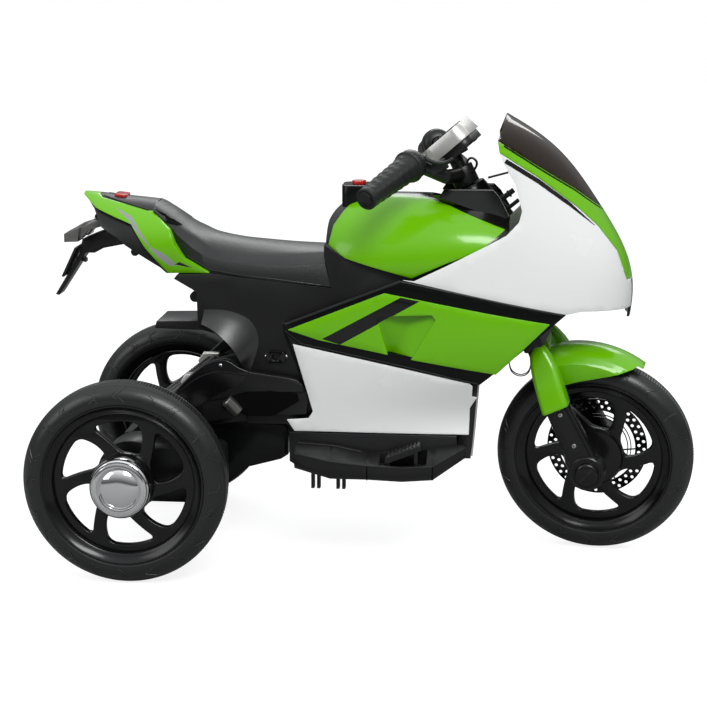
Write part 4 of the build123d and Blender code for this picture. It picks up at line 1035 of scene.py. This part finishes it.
# Two loops of wire that hang from the front edge of the body, and go back into it: places across, and rises
LOOP = ((569, 308), (569.5, 298), (574, 288), (585, 282.5), (597, 285), (603, 295), (603, 308))
LOOP_PLACES = ((-22, 0), (-28, 4))
WIRE_RADIUS_M = 0.0009
for index, (y, rise) in enumerate(LOOP_PLACES):
    wire = bpy.data.curves.new(f"wire_{index}", "CURVE")
    wire.dimensions = "3D"
    wire.bevel_depth = WIRE_RADIUS_M
    wire.bevel_resolution = 3
    spline = wire.splines.new("NURBS")
    spline.points.add(len(LOOP) - 1)
    for point, (x, z) in zip(spline.points, LOOP):
        point.co = (*at(x, y, z + rise), 1)
    spline.order_u = 3
    spline.use_endpoint_u = True
    wire.materials.append(finishes["black_plastic"])
    wire_loop = thing_of(f"wire_loop_{index}", wire)
    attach(wire_loop, "chassis")

# ------ edges of the carried-over solids
WELD_M, ROUND_M = 0.00001, 0.0009
for node in frame["nodes"].values():
    weld = node.modifiers.new("weld", "WELD")
    weld.merge_threshold = WELD_M
    round_over = node.modifiers.new("round", "BEVEL")
    round_over.width = ROUND_M
    round_over.segments = 2
    round_over.limit_method = "ANGLE"
    round_over.angle_limit = math.radians(40)
    round_over.harden_normals = True
    for face in node.data.polygons:
        face.use_smooth = True

# ------ camera, in metres, as fitted to the photo
CAMERA_PLACE, CAMERA_AIM = Vector((0.2288, -2.6696, 0.8986)), Vector((-0.0315, 0, 0.3089))
CAMERA_LENS_MM = 87.84
camera_data = bpy.data.cameras.new("camera")
camera_data.lens = CAMERA_LENS_MM
camera_data.clip_end = 50
camera = thing_of("camera", camera_data)
camera.location = CAMERA_PLACE
camera.rotation_mode = "QUATERNION"
camera.rotation_quaternion = (CAMERA_AIM - CAMERA_PLACE).to_track_quat("-Z", "Y")
scene.camera = camera

# ------ lights, in metres and watts
LAMP_AIM = Vector((0, 0, 0.3))
LAMPS = (
    ("key", Vector((0.9, -2.2, 2.6)), (1.8, 0.9), 63),
    ("fill", Vector((-2.4, -1.6, 1.5)), (1.6, 1.6), 16),
    ("back", Vector((0.2, 2.4, 2.2)), (2.4, 1.0), 24),
)
for name, place, (width, depth), power in LAMPS:
    data = bpy.data.lights.new(name, "AREA")
    data.shape = "RECTANGLE"
    data.size = width
    data.size_y = depth
    data.energy = power
    lamp = thing_of(name, data)
    lamp.location = place
    lamp.rotation_euler = (LAMP_AIM - place).to_track_quat("-Z", "Y").to_euler()

# The world lights the object from a sky that is bright overhead; what looks straight at it sees plain white
SKY_COLOUR = (0.93, 0.95, 0.97, 1)
SKY_HEIGHTS, SKY_STRENGTHS = (0.05, 0.95), (0.12, 1.15)
world = bpy.data.worlds.new("studio")
scene.world = world
world.use_nodes = True
tree = world.node_tree
sky = tree.nodes["Background"]
direction = add(tree, "TexCoord").outputs["Generated"]
height = add(tree, "SeparateXYZ", {"Vector": direction}).outputs["Z"]
feed(tree, sky, {"Color": SKY_COLOUR, "Strength": spread(tree, height, SKY_STRENGTHS, SKY_HEIGHTS)})
white = add(tree, "Background", {"Color": (1, 1, 1, 1), "Strength": 1.0})
rays = add(tree, "LightPath").outputs
straight = maths(tree, "MAXIMUM", rays["Is Camera Ray"], rays["Is Transmission Ray"])
mixed = add(tree, "MixShader", {"Fac": straight, 1: sky.outputs[0], 2: white.outputs[0]})
feed(tree, tree.nodes["World Output"], {"Surface": mixed.outputs[0]})

# ------ floor
# Grey paper that the camera sees as white
FLOOR_DROP_M = 0.0005
FLOOR_COLOUR = (0.28, 0.28, 0.28, 1)
FLOOR_GLOW = 0.84
floor_mesh = mesh_of([(-9, -9, 0), (9, -9, 0), (9, 9, 0), (-9, 9, 0)], [(0, 1, 2, 3)])
floor = thing_of("floor", floor_mesh)
floor.location.z = -FLOOR_DROP_M
paper = bpy.data.materials.new("paper")
paper.use_nodes = True
tree, shader = paper.node_tree, shader_of(paper)
feed(tree, shader, {"Base Color": FLOOR_COLOUR, "Roughness": 0.9})
glow = maths(tree, "MULTIPLY", add(tree, "LightPath").outputs["Is Camera Ray"], FLOOR_GLOW)
white = add(tree, "Emission", {"Strength": glow})
total = add(tree, "AddShader", {0: shader.outputs[0], 1: white.outputs[0]})
feed(tree, tree.nodes["Material Output"], {"Surface": total.outputs[0]})
floor_mesh.materials.append(paper)
scene.view_settings.view_transform = "Standard"
